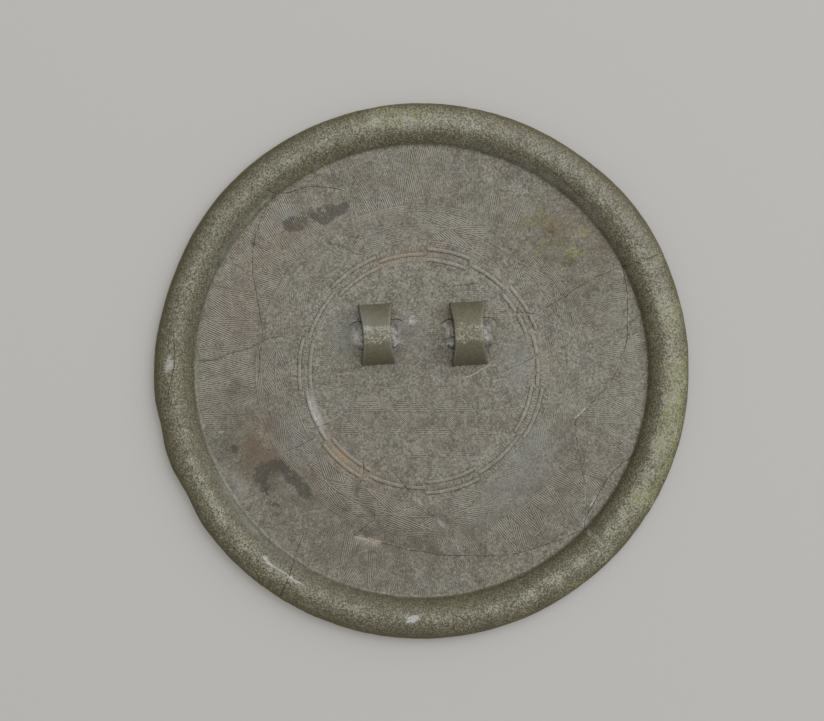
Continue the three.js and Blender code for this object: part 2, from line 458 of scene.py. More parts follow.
BREAKS = (
    Break("right_spoke", ((74.3, 26), (69.2, 26.3), (67, 26.8), (63.1, 27.6), (58.6, 28), (53, 28.2),
          (47.5, 27.8), (43.3, 27.2), (39.1, 26.3), (37.1, 25.2), (35.5, 27), (32.9, 29.5),
          (30.4, 32.2)), HAIR, HAIR_DEPTH, lift=0.03 * MM, over_edge=True),
    Break("right_bow", ((63.1, 27.6), (61.1, 20), (58.4, 10), (56.7, 5)), lift=-0.07 * MM, dark=0.6,
          pale=0.8),
    Break("right_bow_end", ((56.7, 5), (54.4, 0), (51.9, -5), (48.9, -10), (47.5, -13), (45.5, -17.5),
          (46.3, -22), (48.6, -26), (52.2, -31), (55.3, -34.5), (58.1, -37.5), (60.9, -41),
          (63.1, -44)), HAIR, HAIR_DEPTH, lift=-0.06 * MM, dark=0.3, pale=0.9),
    Break("lower_right_crescent", ((64.5, -20.5), (61.7, -25), (60.3, -29), (60, -33), (60.6, -37),
          (61.4, -40.5), (63.1, -43.8), (66.4, -44), (70.4, -43.5)), lift=-0.05 * MM, pale=0.5),
    Break("bottom_bow", ((49.7, 247.5), (49.4, 255), (49.7, 262), (50.3, 268), (51.7, 277), (53, 283),
          (54.4, 288), (57.2, 297), (60.3, 307), (63.1, 315)), HAIR, lift=-0.06 * MM, dark=0.5),
    Break("bottom_spoke", ((29, 254), (30.7, 258), (32.9, 262), (35.5, 267), (37.4, 270), (40.5, 274),
          (44.7, 279), (48.9, 281.5), (52.2, 282.6)), HAIR, lift=-0.1 * MM, dark=0.35, pale=0.7),
    Break("chip_spoke", ((50, 247.6), (46.9, 250), (44.7, 251.2), (43.3, 252.4), (41.9, 249.5)), HAIR,
          dark=0.6),
    Break("lower_left_rim", ((55.8, 234), (57.5, 234.6), (61.4, 235.4), (65.3, 236.6), (69.2, 237.4),
          (73.4, 238)), HAIR, over_edge=True),
    Break("upper_left_bow", ((68.6, 131.2), (66.2, 130.3), (63.2, 128.6), (60.7, 121.7), (57.5, 116.8),
          (54.1, 112.6)), lift=0.04 * MM, dark=0.55),
    Break("upper_right_ledge", ((66.9, 61.7), (66.4, 54), (65.7, 46.6)), HAIR, HAIR_DEPTH,
          lift=0.12 * MM, dark=0.3),
    Break("left_rim", ((70.2, 170.6), (69.3, 174), (68.8, 177.9), (69.8, 182), (71.2, 186.5)),
          dark=0.7),
    Break("left_bow", ((63.1, 133), (61.7, 137), (59.5, 141.5), (55.8, 148), (52.2, 153), (49.1, 158),
          (46.9, 163), (45.5, 167.5)), HAIR, lift=0.05 * MM, dark=0.55),
    Break("left_branch", ((40.5, 166), (42.4, 167), (44.1, 168), (46.3, 171)), HAIR, HAIR_DEPTH,
          dark=0.5),
    Break("left_spoke", ((46.1, 170.5), (49.7, 173), (54.4, 175), (57.8, 177), (63.7, 177.5)), HAIR,
          HAIR_DEPTH, dark=0.5),
    Break("left_ring_line", ((45.5, 167.5), (45.4, 175), (45.6, 182.5)), HAIR, HAIR_DEPTH, dark=0.5),
    Break("lower_left_ring", ((27.9, 210), (29.3, 209.6), (31.5, 209.2), (33.5, 208.5), (35.5, 207.2)),
          pale=0.4),
    Break("lower_left_spoke", ((34.9, 212), (38, 211.8), (41.9, 211.2), (45.2, 210.4)), HAIR,
          HAIR_DEPTH),
    Break("lower_left_hair", ((29, 236), (30.7, 238.5), (32.9, 240.5), (35.5, 241.5), (37.1, 241),
          (39.4, 243)), HAIR, HAIR_DEPTH, dark=0.5),
    Break("upper_hair", ((45.5, 127), (43.3, 125), (40.8, 122.5), (38.3, 120), (36.3, 117)), HAIR,
          HAIR_DEPTH, dark=0.3),
    Break("inner_right_hair", ((24.3, 1.5), (27.9, 4.2), (32.7, 7.5)), HAIR, HAIR_DEPTH),
    Break("inner_top_hair", ((23.7, 79), (25.7, 68), (28.2, 59)), HAIR, HAIR_DEPTH, dark=0.5),
)

SCRATCHES = (
    Break("loop_scratch", ((11.9, 352), (14, 355), (16.3, 0.5), (18.8, 3.8), (19.3, 6)), 0.34 * MM,
          0.05 * MM, dark=0.0, pale=1.0, scratch=True),
    Break("right_scratch", ((20.1, 351.5), (23.2, 354.5)), 0.26 * MM, 0.04 * MM, dark=0.0, pale=0.7,
          scratch=True),
    Break("left_scratch", ((24.2, 182.4), (18.3, 182.3)), 0.22 * MM, 0.04 * MM, dark=0.0, pale=0.45,
          scratch=True),
    Break("top_scratch", ((17.1, 90.4), (18.2, 85.5)), 0.26 * MM, 0.04 * MM, dark=0.0, pale=0.7,
          scratch=True),
    Break("rim_scratch", ((68.3, 229.8), (68.1, 235), (67.9, 241.2)), 0.4 * MM, 0.05 * MM, dark=0.0,
          pale=0.7, scratch=True),
)


@dataclass(frozen=True)
class BreakLine:
    """Break as it is drawn on one plan."""

    origin: Break
    path: Array

    fading: float = 1.2 * MM
    lift_reach: float = 5.0 * MM

    def banks(self) -> list[Array]:
        """Left bank, bottom and right bank, which the mesh keeps as edges."""
        offset = path_sides(self.path) * self.origin.width / 2
        return [self.path + offset, self.path, self.path - offset]

    def openness(self, points: Array) -> Array:
        """Share of the full depth at points: one at the bottom, none beyond the banks."""
        distance, _ = distance_to_path(points, self.path, self.origin.width)
        share = np.clip(1.0 - distance / (self.origin.width / 2), 0.0, 1.0)
        ends = np.minimum(np.linalg.norm(points - self.path[0], axis=1),
                          np.linalg.norm(points - self.path[-1], axis=1))
        return share * np.clip(0.35 + ends / self.fading, 0.0, 1.0)

    def relief(self, points: Array) -> Array:
        """Height that the break adds at points: its groove, and the step between its two banks."""
        height = -self.origin.depth * self.openness(points)
        if abs(self.origin.lift) > 0.0:
            distance, side = distance_to_path(points, self.path, self.lift_reach)
            share = np.clip(1.0 - distance / self.lift_reach, 0.0, 1.0) ** 2
            height += 0.5 * self.origin.lift * side * share
        return height


class Filling(Enum):
    """What shows on the floor of a chip, hollow or scratch."""

    WHITE = "pale"
    TAN = "earth"
    # Painted shade on the floor of a small pit.
    DARK = "gap"


@dataclass(frozen=True)
class Chip:
    """Shallow flaked place: radius in millimetres and direction of its middle, size, turn and depth."""

    radius: float
    direction: float
    length: float
    width: float
    turn: float
    depth: float
    filling: Filling
    strength: float = 1.0

    def middle(self, section: Section) -> Array:
        """Middle of the chip on the developed plan."""
        return polar_point(section.run_at(self.radius * MM), self.direction)

    def share(self, points: Array, section: Section) -> Array:
        """One in the middle of the chip, none beyond its ragged edge."""
        along, across = turned(points, self.middle(section), self.turn).T
        ragged = 1.0 + 0.3 * CHIP_EDGES.at(points)
        away = np.hypot(along / (self.length / 2), across / (self.width / 2)) * ragged
        return eased((1.0 - away) * 5.0)


CHIPS = (
    Chip(49.6, 252.6, 8.0 * MM, 1.9 * MM, -14, 0.22 * MM, Filling.TAN, 1.5),
    Chip(49.6, 252.6, 8.0 * MM, 1.7 * MM, -14, 0.0, Filling.WHITE, 0.45),
    Chip(14.4, 98.7, 2.1 * MM, 2.8 * MM, 10, 0.14 * MM, Filling.WHITE, 1.8),
    Chip(46.3, 345.6, 4.6 * MM, 0.6 * MM, 45, 0.12 * MM, Filling.WHITE, 1.5),
    Chip(60.4, 322.6, 3.4 * MM, 0.5 * MM, 62, 0.1 * MM, Filling.WHITE, 1.2),
    Chip(68.9, 268.0, 3.7 * MM, 2.2 * MM, 4, 0.45 * MM, Filling.WHITE, 1.8),
    Chip(68.1, 231.0, 4.2 * MM, 0.9 * MM, -50, 0.08 * MM, Filling.WHITE, 0.9),
    Chip(68.2, 238.5, 4.6 * MM, 0.7 * MM, -38, 0.08 * MM, Filling.WHITE, 0.8),
    Chip(58.4, 197.0, 2.2 * MM, 0.5 * MM, 15, 0.06 * MM, Filling.WHITE, 0.6),
    Chip(70.3, 178.6, 4.4 * MM, 2.4 * MM, 86, 0.2 * MM, Filling.WHITE, 0.7),
    Chip(58.9, 143.0, 0.9 * MM, 0.7 * MM, 30, 0.2 * MM, Filling.DARK, 0.8),
    Chip(25.8, 90.2, 0.6 * MM, 0.5 * MM, 0, 0.15 * MM, Filling.DARK, 0.7),
    Chip(14.8, 296.5, 0.6 * MM, 0.5 * MM, 0, 0.15 * MM, Filling.DARK, 0.7),
)


@dataclass(frozen=True)
class StrapLoop:
    """Strap loop: an arch along Y that is open along X, narrower at its middle and worn over its crest."""

    name: str
    x: float
    y: float
    turn: float
    length: float
    end_width: float
    waist_width: float

    rise: float = 6.88 * MM
    thickness: float = 1.7 * MM
    foot: float = 2.4 * MM
    corner: float = 0.45 * MM
    shoulder: float = 2.2
    slope: float = 0.85
    root: float = 0.6 * MM
    stations: int = 96
    side_steps: int = 14
    edge_steps: int = 3
    corner_steps: int = 3

    core_reach: float = 3.8 * MM
    core_width: float = 8.0 * MM
    core_depth: float = 0.42 * MM
    core_corner: float = 3.0
    core_droop: float = 0.9 * MM
    crest_reach: float = 2.0 * MM

    def arch(self, half_length: float, rise: float, share: Array) -> Array:
        """Distances along the loop and heights of an arch, at shares from 1 to -1 between its feet."""
        height = rise * np.clip(1.0 - np.abs(share) ** self.shoulder, 0.0, None) ** self.slope
        return np.column_stack([half_length * share, height])

    def half_width(self, share: Array) -> Array:
        """Half the strap's width at shares of the way from its middle to a foot."""
        return (self.waist_width + (self.end_width - self.waist_width) * share ** 2) / 2

    def ring(self) -> Array:
        """Corner shares and corner turns of one rounded oblong section, counter-clockwise.

        Returns:
            For each point the place of its corner's middle, from -1 to 1 in width and depth, and the
            direction from there.
        """
        rows = []
        corners = ((1, 1), (-1, 1), (-1, -1), (1, -1))
        for index, (across, through) in enumerate(corners):
            start = math.radians(90 * index)
            for step in range(self.corner_steps):
                angle = start + math.radians(90) * step / (self.corner_steps - 1)
                rows.append((across, through, math.cos(angle), math.sin(angle)))
            next_across, next_through = corners[(index + 1) % 4]
            steps = self.side_steps if next_across != across else self.edge_steps
            angle = start + math.radians(90)
            for step in range(1, steps):
                share = step / steps
                place = (across + (next_across - across) * share,
                         through + (next_through - through) * share)
                rows.append((*place, math.cos(angle), math.sin(angle)))
        return np.array(rows)

    def on_plate(self, points: Array) -> Array:
        """Plan points in the loop's own directions, from its middle."""
        return turned(points, np.array([self.x, self.y]), self.turn)

    def covers(self, points: Array, margin: float) -> Array:
        """Whether plan points lie under the strap or less than a margin beside it."""
        own = np.abs(self.on_plate(points))
        return (own[:, 0] < self.end_width / 2 + margin) & (own[:, 1] < self.length / 2 + margin)

    def hollow(self, points: Array) -> Array:
        """Depth, as a share, of the hollow that the core of the passage left in the plate."""
        own = np.abs(self.on_plate(points))
        ragged = 1.0 + 0.16 * HOLLOW_EDGES.layered(points, 3)
        along = own[:, 0] / (self.waist_width / 2 + self.core_reach)
        across = own[:, 1] / (self.core_width / 2)
        away = (along ** self.core_corner + across ** self.core_corner) ** (1.0 / self.core_corner)
        return eased((1.0 - away * ragged) * 2.6)

    def core_edges(self) -> list[Array]:
        """Courses of the cracks along the hollow's edges, from the strap's sides outwards."""
        start = self.waist_width / 2
        angle = math.radians(self.turn)
        turned = np.array([[math.cos(angle), math.sin(angle)], [-math.sin(angle), math.cos(angle)]])
        courses = []
        for side in (-1, 1):
            for edge in (-1, 1):
                reach = self.core_reach * (0.95 if edge > 0 else 0.55)
                own = np.array([
                    (side * start, edge * (self.core_width / 2 - 0.2 * MM)),
                    (side * (start + reach * 0.5), edge * self.core_width / 2),
                    (side * (start + reach), edge * (self.core_width / 2 - self.core_droop))])
                courses.append(own @ turned + np.array([self.x, self.y]))
        return courses

    def crest_share(self, points: Array) -> Array:
        """One over the worn middle of the strap, none on its slopes."""
        own = self.on_plate(points)
        ragged = 1.0 + 0.3 * CREST_EDGES.at(points)
        return eased(1.6 - np.abs(own[:, 1]) * ragged / self.crest_reach)

    def beside(self, points: Array, reach: float) -> Array:
        """One along the strap's two long edges, none farther away from them than about the reach."""
        own = np.abs(self.on_plate(points))
        half_width = self.half_width(2 * own[:, 1] / self.length)
        within = eased((self.length / 2 - own[:, 1]) / (0.5 * MM) + 0.5)
        return within * np.exp(-((half_width - own[:, 0]) / reach) ** 2)

    def mesh(self, ground: float) -> tuple[Array, list[tuple[int, ...]]]:
        """Builds the strap as one closed surface.

        Args:
            ground: Height of the plate's back.

        Returns:
            Points and four-sided faces, with each end closed by a fan about its middle.
        """
        share = np.cos(math.pi * np.arange(self.stations + 1) / self.stations)
        outer = self.arch(self.length / 2, self.rise, share)
        inner = self.arch(self.length / 2 - self.foot, self.rise - self.thickness, share)
        sunk = np.array([0.0, -self.root])
        outer = np.vstack([outer[:1] + sunk, outer, outer[-1:] + sunk])
        inner = np.vstack([inner[:1] + sunk, inner, inner[-1:] + sunk])
        share = np.concatenate([share[:1], share, share[-1:]])
        middle = (outer + inner) / 2
        through = (outer - inner) / 2
        half_depth = np.linalg.norm(through, axis=1)
        through /= half_depth[:, None]
        half_width = self.half_width(share)
        ring = self.ring()
        across = ring[None, :, 0] * (half_width[:, None] - self.corner) + ring[None, :, 2] * self.corner
        depth = ring[None, :, 1] * (half_depth[:, None] - self.corner) + ring[None, :, 3] * self.corner
        along = middle[:, None, :] + depth[:, :, None] * through[:, None, :]
        worn = eased(1.6 - np.abs(along[:, :, 0]) / self.crest_reach)
        place = np.column_stack([(across + self.x).ravel(), along[:, :, 0].ravel()])
        rough = STRAP_GRAIN.layered(place, 2).reshape(worn.shape)
        upper = np.clip(ring[None, :, 1], 0.0, 1.0)
        pared = 0.09 * MM * (rough + 1.1) * worn * upper + 0.03 * MM * (rough + 1.0) * (1 - worn)
        shift = -pared[:, :, None] * through[:, None, :] * np.sign(ring[None, :, 1])[:, :, None]
        along = along + shift
        angle = math.radians(self.turn)
        x = self.x + across * math.cos(angle) - along[:, :, 0] * math.sin(angle)
        y = self.y + across * math.sin(angle) + along[:, :, 0] * math.cos(angle)
        points = np.column_stack([x.ravel(), y.ravel(), (along[:, :, 1] + ground).ravel()])
        return points, self.faces(len(share), len(ring))

    def faces(self, stations: int, around: int) -> list[tuple[int, ...]]:
        """Faces of a closed tube of sections, with its two ends.

        Args:
            stations: Number of sections.
            around: Number of points round one section.

        Returns:
            Corner numbers of each face.
        """
        faces: list[tuple[int, ...]] = []
        for station in range(stations - 1):
            low = station * around
            high = low + around
            for step in range(around):
                after = (step + 1) % around
                faces.append((low + step, low + after, high + after, high + step))
        faces.append(tuple(range(around - 1, -1, -1)))
        faces.append(tuple(range((stations - 1) * around, stations * around)))
        return faces


LOOPS = (
    StrapLoop("left", -12.35 * MM, 10.2 * MM, 3.8, 17.2 * MM, 9.3 * MM, 7.6 * MM),
    StrapLoop("right", 13.3 * MM, 10.5 * MM, 3.1, 17.9 * MM, 9.8 * MM, 7.85 * MM),
)


def new_object(name: str, points: Array, faces: Sequence[Sequence[int]],
               edges: Sequence[Sequence[int]] = ()) -> Piece:
    """Adds a mesh object at the origin.

    Args:
        name: Name of the object and its mesh.
        points: Points in space.
        faces: Corner numbers of each face.
        edges: Loose edges, for a mesh that has no faces.

    Returns:
        The new object.
    """
    mesh = bpy.data.meshes.new(name)
    mesh.from_pydata([tuple(point) for point in points.tolist()], [tuple(edge) for edge in edges],
                     [tuple(face) for face in faces])
    mesh.update()
    piece = bpy.data.objects.new(name, mesh)
    bpy.context.scene.collection.objects.link(piece)
    return piece


def mesh_points(mesh: bpy.types.Mesh) -> Array:
    """Points of a mesh, one in each row."""
    flat = np.empty(len(mesh.vertices) * 3, dtype=np.float32)
    mesh.vertices.foreach_get("co", flat)
    return flat.reshape(-1, 3).astype(float)


def set_mesh_points(mesh: bpy.types.Mesh, points: Array) -> None:
    """Moves the points of a mesh."""
    mesh.vertices.foreach_set("co", points.astype(np.float32).ravel())
    mesh.update()


def set_point_values(mesh: bpy.types.Mesh, name: str, values: Array) -> None:
    """Stores one number for each point of a mesh under a name."""
    layer = mesh.attributes.get(name) or mesh.attributes.new(name, "FLOAT", "POINT")
    layer.data.foreach_set("value", values.astype(np.float32))


def baked(source: Piece, name: str) -> Piece:
    """Turns an object with live modifiers into a plain mesh object, and deletes the first one.

    Args:
        source: Object with modifiers.
        name: Name of the plain object.

    Returns:
        The plain object, at the origin.
    """
    graph = bpy.context.evaluated_depsgraph_get()
    mesh = bpy.data.meshes.new_from_object(source.evaluated_get(graph), depsgraph=graph)
    source.modifiers.clear()
    bpy.data.objects.remove(source)
    mesh.name = name
    piece = bpy.data.objects.new(name, mesh)
    bpy.context.scene.collection.objects.link(piece)
    return piece


def triangle_count(piece: Piece) -> int:
    """Number of triangles in a mesh object."""
    return sum(len(face.vertices) - 2 for face in piece.data.polygons)


def plan_mesh(outline: Array, chains: Sequence[Array],
              points: Array) -> tuple[Array, Array, Array]:
    """Fills a convex outline with triangles that keep chains of points as edges.

    Args:
        outline: Points of the outline, counter-clockwise.
        chains: Open chains of points inside it.
        points: Loose points inside it.

    Returns:
        Plan points, triangles that run counter-clockwise, and the number of the plan point that each
        outline point became.
    """
    parts = [outline, *chains, points]
    edges = [(index, (index + 1) % len(outline)) for index in range(len(outline))]
    first = len(outline)
    for chain in chains:
        edges.extend((first + index, first + index + 1) for index in range(len(chain) - 1))
        first += len(chain)
    drawn = [Vector(point) for point in (np.vstack(parts) / MM).tolist()]
    found, _, faces, origins, _, _ = delaunay_2d_cdt(drawn, edges, [], 0, 1e-6)
    plan = np.array([tuple(point) for point in found]) * MM
    triangles = np.array(faces)
    side_a = plan[triangles[:, 1]] - plan[triangles[:, 0]]
    side_b = plan[triangles[:, 2]] - plan[triangles[:, 0]]
    backwards = side_a[:, 0] * side_b[:, 1] - side_a[:, 1] * side_b[:, 0] < 0
    triangles[backwards] = triangles[backwards][:, ::-1]
    border = np.zeros(len(outline), dtype=int)
    for index, olds in enumerate(origins):
        for old in olds:
            if old < len(outline):
                border[old] = index
    return plan, triangles, border


def staggered_grid(radius: float, pitch: float, middle: Sequence[float] = (0.0, 0.0),
                   seed: int = 5) -> Array:
    """Points in staggered rows within a circle, each moved a little at random.

    Args:
        radius: Radius of the circle.
        pitch: Distance between points.
        middle: Middle of the circle.
        seed: Seed of the random moves.

    Returns:
        Plan points.
    """
    rows = int(radius / (pitch * math.sqrt(0.75))) + 1
    columns = int(radius / pitch) + 2
    row, column = np.meshgrid(np.arange(-rows, rows + 1), np.arange(-columns, columns + 1), indexing="ij")
    x = (column + 0.5 * (row % 2)) * pitch
    y = row * pitch * math.sqrt(0.75)
    grid = np.column_stack([x.ravel(), y.ravel()])
    grid += np.random.default_rng(seed).uniform(-0.16, 0.16, grid.shape) * pitch
    grid = grid[np.hypot(grid[:, 0], grid[:, 1]) < radius - 0.5 * pitch]
    return grid + np.array(middle)


class Casting:
    """Plate, rim and strap loops of the mirror as one closed surface."""

    pitch = 0.8 * MM
    fine_pitch = 0.34 * MM
    face_pitch = 1.7 * MM
    break_step = 0.6 * MM
    rim_points = 600
    clearance = 0.3 * MM
    foot_offsets = (-0.3 * MM, 0.4 * MM)
    least_share = 0.02
    clear_inside = 0.6 * MM
    clear_outside = 0.7 * MM
    undulation = 0.07 * MM
    field_roughness = 0.022 * MM
    rim_roughness = 0.055 * MM
    hollow_roughness = 0.2 * MM
    face_depth_share = 0.5
    sharp_angle = math.radians(38)

    def __init__(self) -> None:
        """Draws the breaks on the plan of the back and on that of the polished face."""
        self.section = Section()
        last = self.section.last_run - 2 * self.clearance
        self.back_breaks = [BreakLine(each, each.path(self.section.run_at, last, self.break_step))
                            for each in (*BREAKS, *SCRATCHES)]
        # Cracks along the edges of the hollows, with painted shade in their bottoms.
        core_edge = Break("core_edge", (), 0.24 * MM, 0.25 * MM, dark=0.75)
        self.back_breaks += [BreakLine(core_edge, core_edge.wandering(course, self.fine_pitch))
                             for loop in LOOPS for course in loop.core_edges()]
        face_last = self.section.last_radius - 2 * self.clearance
        self.face_breaks = [BreakLine(each, each.path(float, face_last, self.break_step))
                            for each in BREAKS]

    def relief(self, plan: Array, with_breaks: bool = True) -> Array:
        """Height of the worn surface over the smooth one.

        Args:
            plan: Points of the developed plan.
            with_breaks: Whether breaks and chips count, or only the surface beside them.

        Returns:
            Heights.
        """
        run = np.hypot(plan[:, 0], plan[:, 1])
        rim = eased((run - self.section.field_radius) / (3 * MM) + 0.3)
        height = self.undulation * LONG_WAVES.layered(plan, 2)
        rough = self.field_roughness + (self.rim_roughness - self.field_roughness) * rim
        height += rough * SURFACE_GRAIN.layered(plan, 2)
        height -= self.undulation
        for loop in LOOPS:
            share = loop.hollow(plan)
            height -= share * loop.core_depth
            height += share * self.hollow_roughness * HOLLOW_GRAIN.layered(plan, 2)
        if with_breaks:
            for line in self.back_breaks:
                height += line.relief(plan)
            for chip in CHIPS:
                height -= chip.share(plan, self.section) * chip.depth
        return height

    def line_height(self, plan: Array) -> Array:
        """Height of the plate's back where raised lines stand, in metres over the polished face."""
        lifts = sum(line.relief(plan) + line.origin.depth * line.openness(plan)
                    for line in self.back_breaks)
        return self.section.thickness + self.relief(plan, with_breaks=False) + lifts

    def _back_points(self) -> Array:
        """Loose points of the back: an even grid, denser in the hollows and chips."""
        points = [staggered_grid(self.section.last_run, self.pitch)]
        for loop in LOOPS:
            reach = loop.waist_width / 2 + loop.core_reach
            fine = staggered_grid(reach * 1.3, self.fine_pitch, (loop.x, loop.y))
            points.append(fine[loop.hollow(fine) > self.least_share])
        for chip in CHIPS:
            fine = staggered_grid(chip.length, self.fine_pitch, chip.middle(self.section))
            points.append(fine[chip.share(fine, self.section) > self.least_share])
        return np.vstack(points)

    def _clear_of(self, points: Array, lines: Sequence[BreakLine]) -> Array:
        """Drops points that lie too near a break's banks."""
        kept = np.ones(len(points), dtype=bool)
        for line in lines:
            distance, _ = distance_to_path(points, line.path, line.origin.width + self.clearance)
            kept &= distance > line.origin.width / 2 + 0.5 * self.clearance
        return points[kept]

    def build(self) -> Piece:
        """Makes the whole casting.

        Returns:
            The object of the casting.
        """
        plate = self._plate()
        straps = self._straps()
        join = plate.modifiers.new("join", "BOOLEAN")
        join.operation = "UNION"
        join.solver = "MANIFOLD"
        join.object = straps
        piece = baked(plate, "mirror_casting")
        bpy.data.objects.remove(straps)
        lowest, highest = (np.array(corner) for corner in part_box(CASTING_NODE))
        set_mesh_points(piece.data, np.clip(mesh_points(piece.data), lowest, highest))
        piece.data.shade_smooth()
        piece.data.set_sharp_from_angle(angle=self.sharp_angle)
        return piece

    def _plate(self) -> Piece:
        """Makes plate and rim, with the back and the polished face joined along the lower edge."""
        turn = np.arange(self.rim_points) / self.rim_points * 2 * math.pi
        circle = np.column_stack([np.cos(turn), np.sin(turn)])
        foot = self.section.field_radius
        foot_rings = [np.vstack([circle, circle[:1]]) * (foot + offset) for offset in self.foot_offsets]
        points = self._clear_of(self._back_points(), self.back_breaks)
        run = np.hypot(points[:, 0], points[:, 1])
        near_foot = (run > foot - self.clear_inside) & (run < foot + self.clear_outside)
        chains = [bank for line in self.back_breaks for bank in line.banks()]
        back, triangles, border = plan_mesh(circle * self.section.last_run, [*foot_rings, *chains],
                                            points[~near_foot])
        space = self.section.place(back, self.relief(back))
        edge = space[border]
        face_grid = self._clear_of(staggered_grid(self.section.last_radius, self.face_pitch, seed=6),
                                   self.face_breaks)
        chains = [bank for line in self.face_breaks for bank in line.banks()]
        face, face_triangles, face_border = plan_mesh(circle * self.section.last_radius, chains, face_grid)
        level = np.zeros(len(face))
        for line in self.face_breaks:
            level += line.origin.depth * line.openness(face) * self.face_depth_share
        face_space = np.column_stack([self._swelled(face), level])
        inner = np.setdiff1d(np.arange(len(face)), face_border)
        renumber = np.empty(len(face), dtype=int)
        renumber[inner] = np.arange(len(inner)) + len(space)
        renumber[face_border] = border
        space[border] = np.column_stack([edge[:, :2], np.zeros(len(edge))])
        faces = np.vstack([triangles, renumber[face_triangles][:, ::-1]])
        return new_object("plate", np.vstack([space, face_space[inner]]), faces.tolist())

    def _swelled(self, plan: Array) -> Array:
        """Moves plan points of the polished face outwards with the outline."""
        radius, angle = polar(plan)
        return from_polar(radius + self.section.swell(angle, radius), angle)

    def _straps(self) -> Piece:
        """Makes the two strap loops as one object."""
        points = []
        faces: list[tuple[int, ...]] = []
        for loop in LOOPS:
            space, own = loop.mesh(self.section.thickness)
            first = sum(len(part) for part in points)
            faces.extend(tuple(corner + first for corner in face) for face in own)
            points.append(space)
        return new_object("straps", np.vstack(points), faces)


class NodeDesk:
    """Adds and joins the nodes of one tree."""

    def __init__(self, tree: bpy.types.NodeTree) -> None:
        """Keeps the tree."""
        self.tree = tree

    def fill(self, socket: Socket, value: object) -> None:
        """Joins a socket to another one, or gives it a plain value."""
        if isinstance(value, Socket):
            self.tree.links.new(value, socket)
        else:
            socket.default_value = value

    def add(self, kind: str, inputs: dict[str, object] | None = None, **settings: object) -> bpy.types.Node:
        """Adds a node.

        Args:
            kind: Blender's name for the node.
            inputs: For each socket, by name or identifier, a socket to join to it or its plain value.
            settings: Properties of the node.

        Returns:
            The node.
        """
        node = self.tree.nodes.new(kind)
        for name, value in settings.items():
            setattr(node, name, value)
        for key, value in (inputs or {}).items():
            self.fill(next(each for each in node.inputs if key in (each.identifier, each.name)), value)
        return node

    def attribute(self, name: str) -> Socket:
        """Value that a piece stores for each point."""
        return self.add("ShaderNodeAttribute", attribute_name=name).outputs["Fac"]

    def calculate(self, operation: str, *values: object, clamped: bool = False) -> Socket:
        """Result of a sum in one Math node, kept from 0 to 1 where it is clamped."""
        node = self.add("ShaderNodeMath", operation=operation, use_clamp=clamped)
        for socket, value in zip(node.inputs, values):
            self.fill(socket, value)
        return node.outputs[0]

    def times(self, first: object, second: object, clamped: bool = False) -> Socket:
        """Product of two values or sockets."""
        return self.calculate("MULTIPLY", first, second, clamped=clamped)

    def sloped(self, value: object, slope: object, start: object, clamped: bool = False) -> Socket:
        """A value or socket times a slope, plus a start."""
        return self.calculate("MULTIPLY_ADD", value, slope, start, clamped=clamped)

    def mixed(self, share: object, first: object, second: object) -> Socket:
        """Mix of two colours by the share of the second."""
        inputs = {"Factor_Float": share, "A_Color": first, "B_Color": second}
        outputs = self.add("ShaderNodeMix", inputs, data_type="RGBA").outputs
        return next(each for each in outputs if each.identifier == "Result_Color")

    def noise(self, place: Socket, scale: object, detail: object, seed: object,
              roughness: float = 0.5) -> Socket:
        """Noise value at a place, with so many features in a metre and so many finer layers."""
        inputs = {"Vector": place, "Scale": scale, "Detail": detail, "Roughness": roughness, "W": seed}
        return self.add("ShaderNodeTexNoise", inputs, noise_dimensions="4D").outputs["Fac"]


@dataclass(frozen=True)
class Ridge:
    """Section of a raised line: width at its foot and on top, height over the plate and root in it."""

    foot: float
    crest: float
    height: float
    root: float = 0.12 * MM
    wander: float = 0.06 * MM


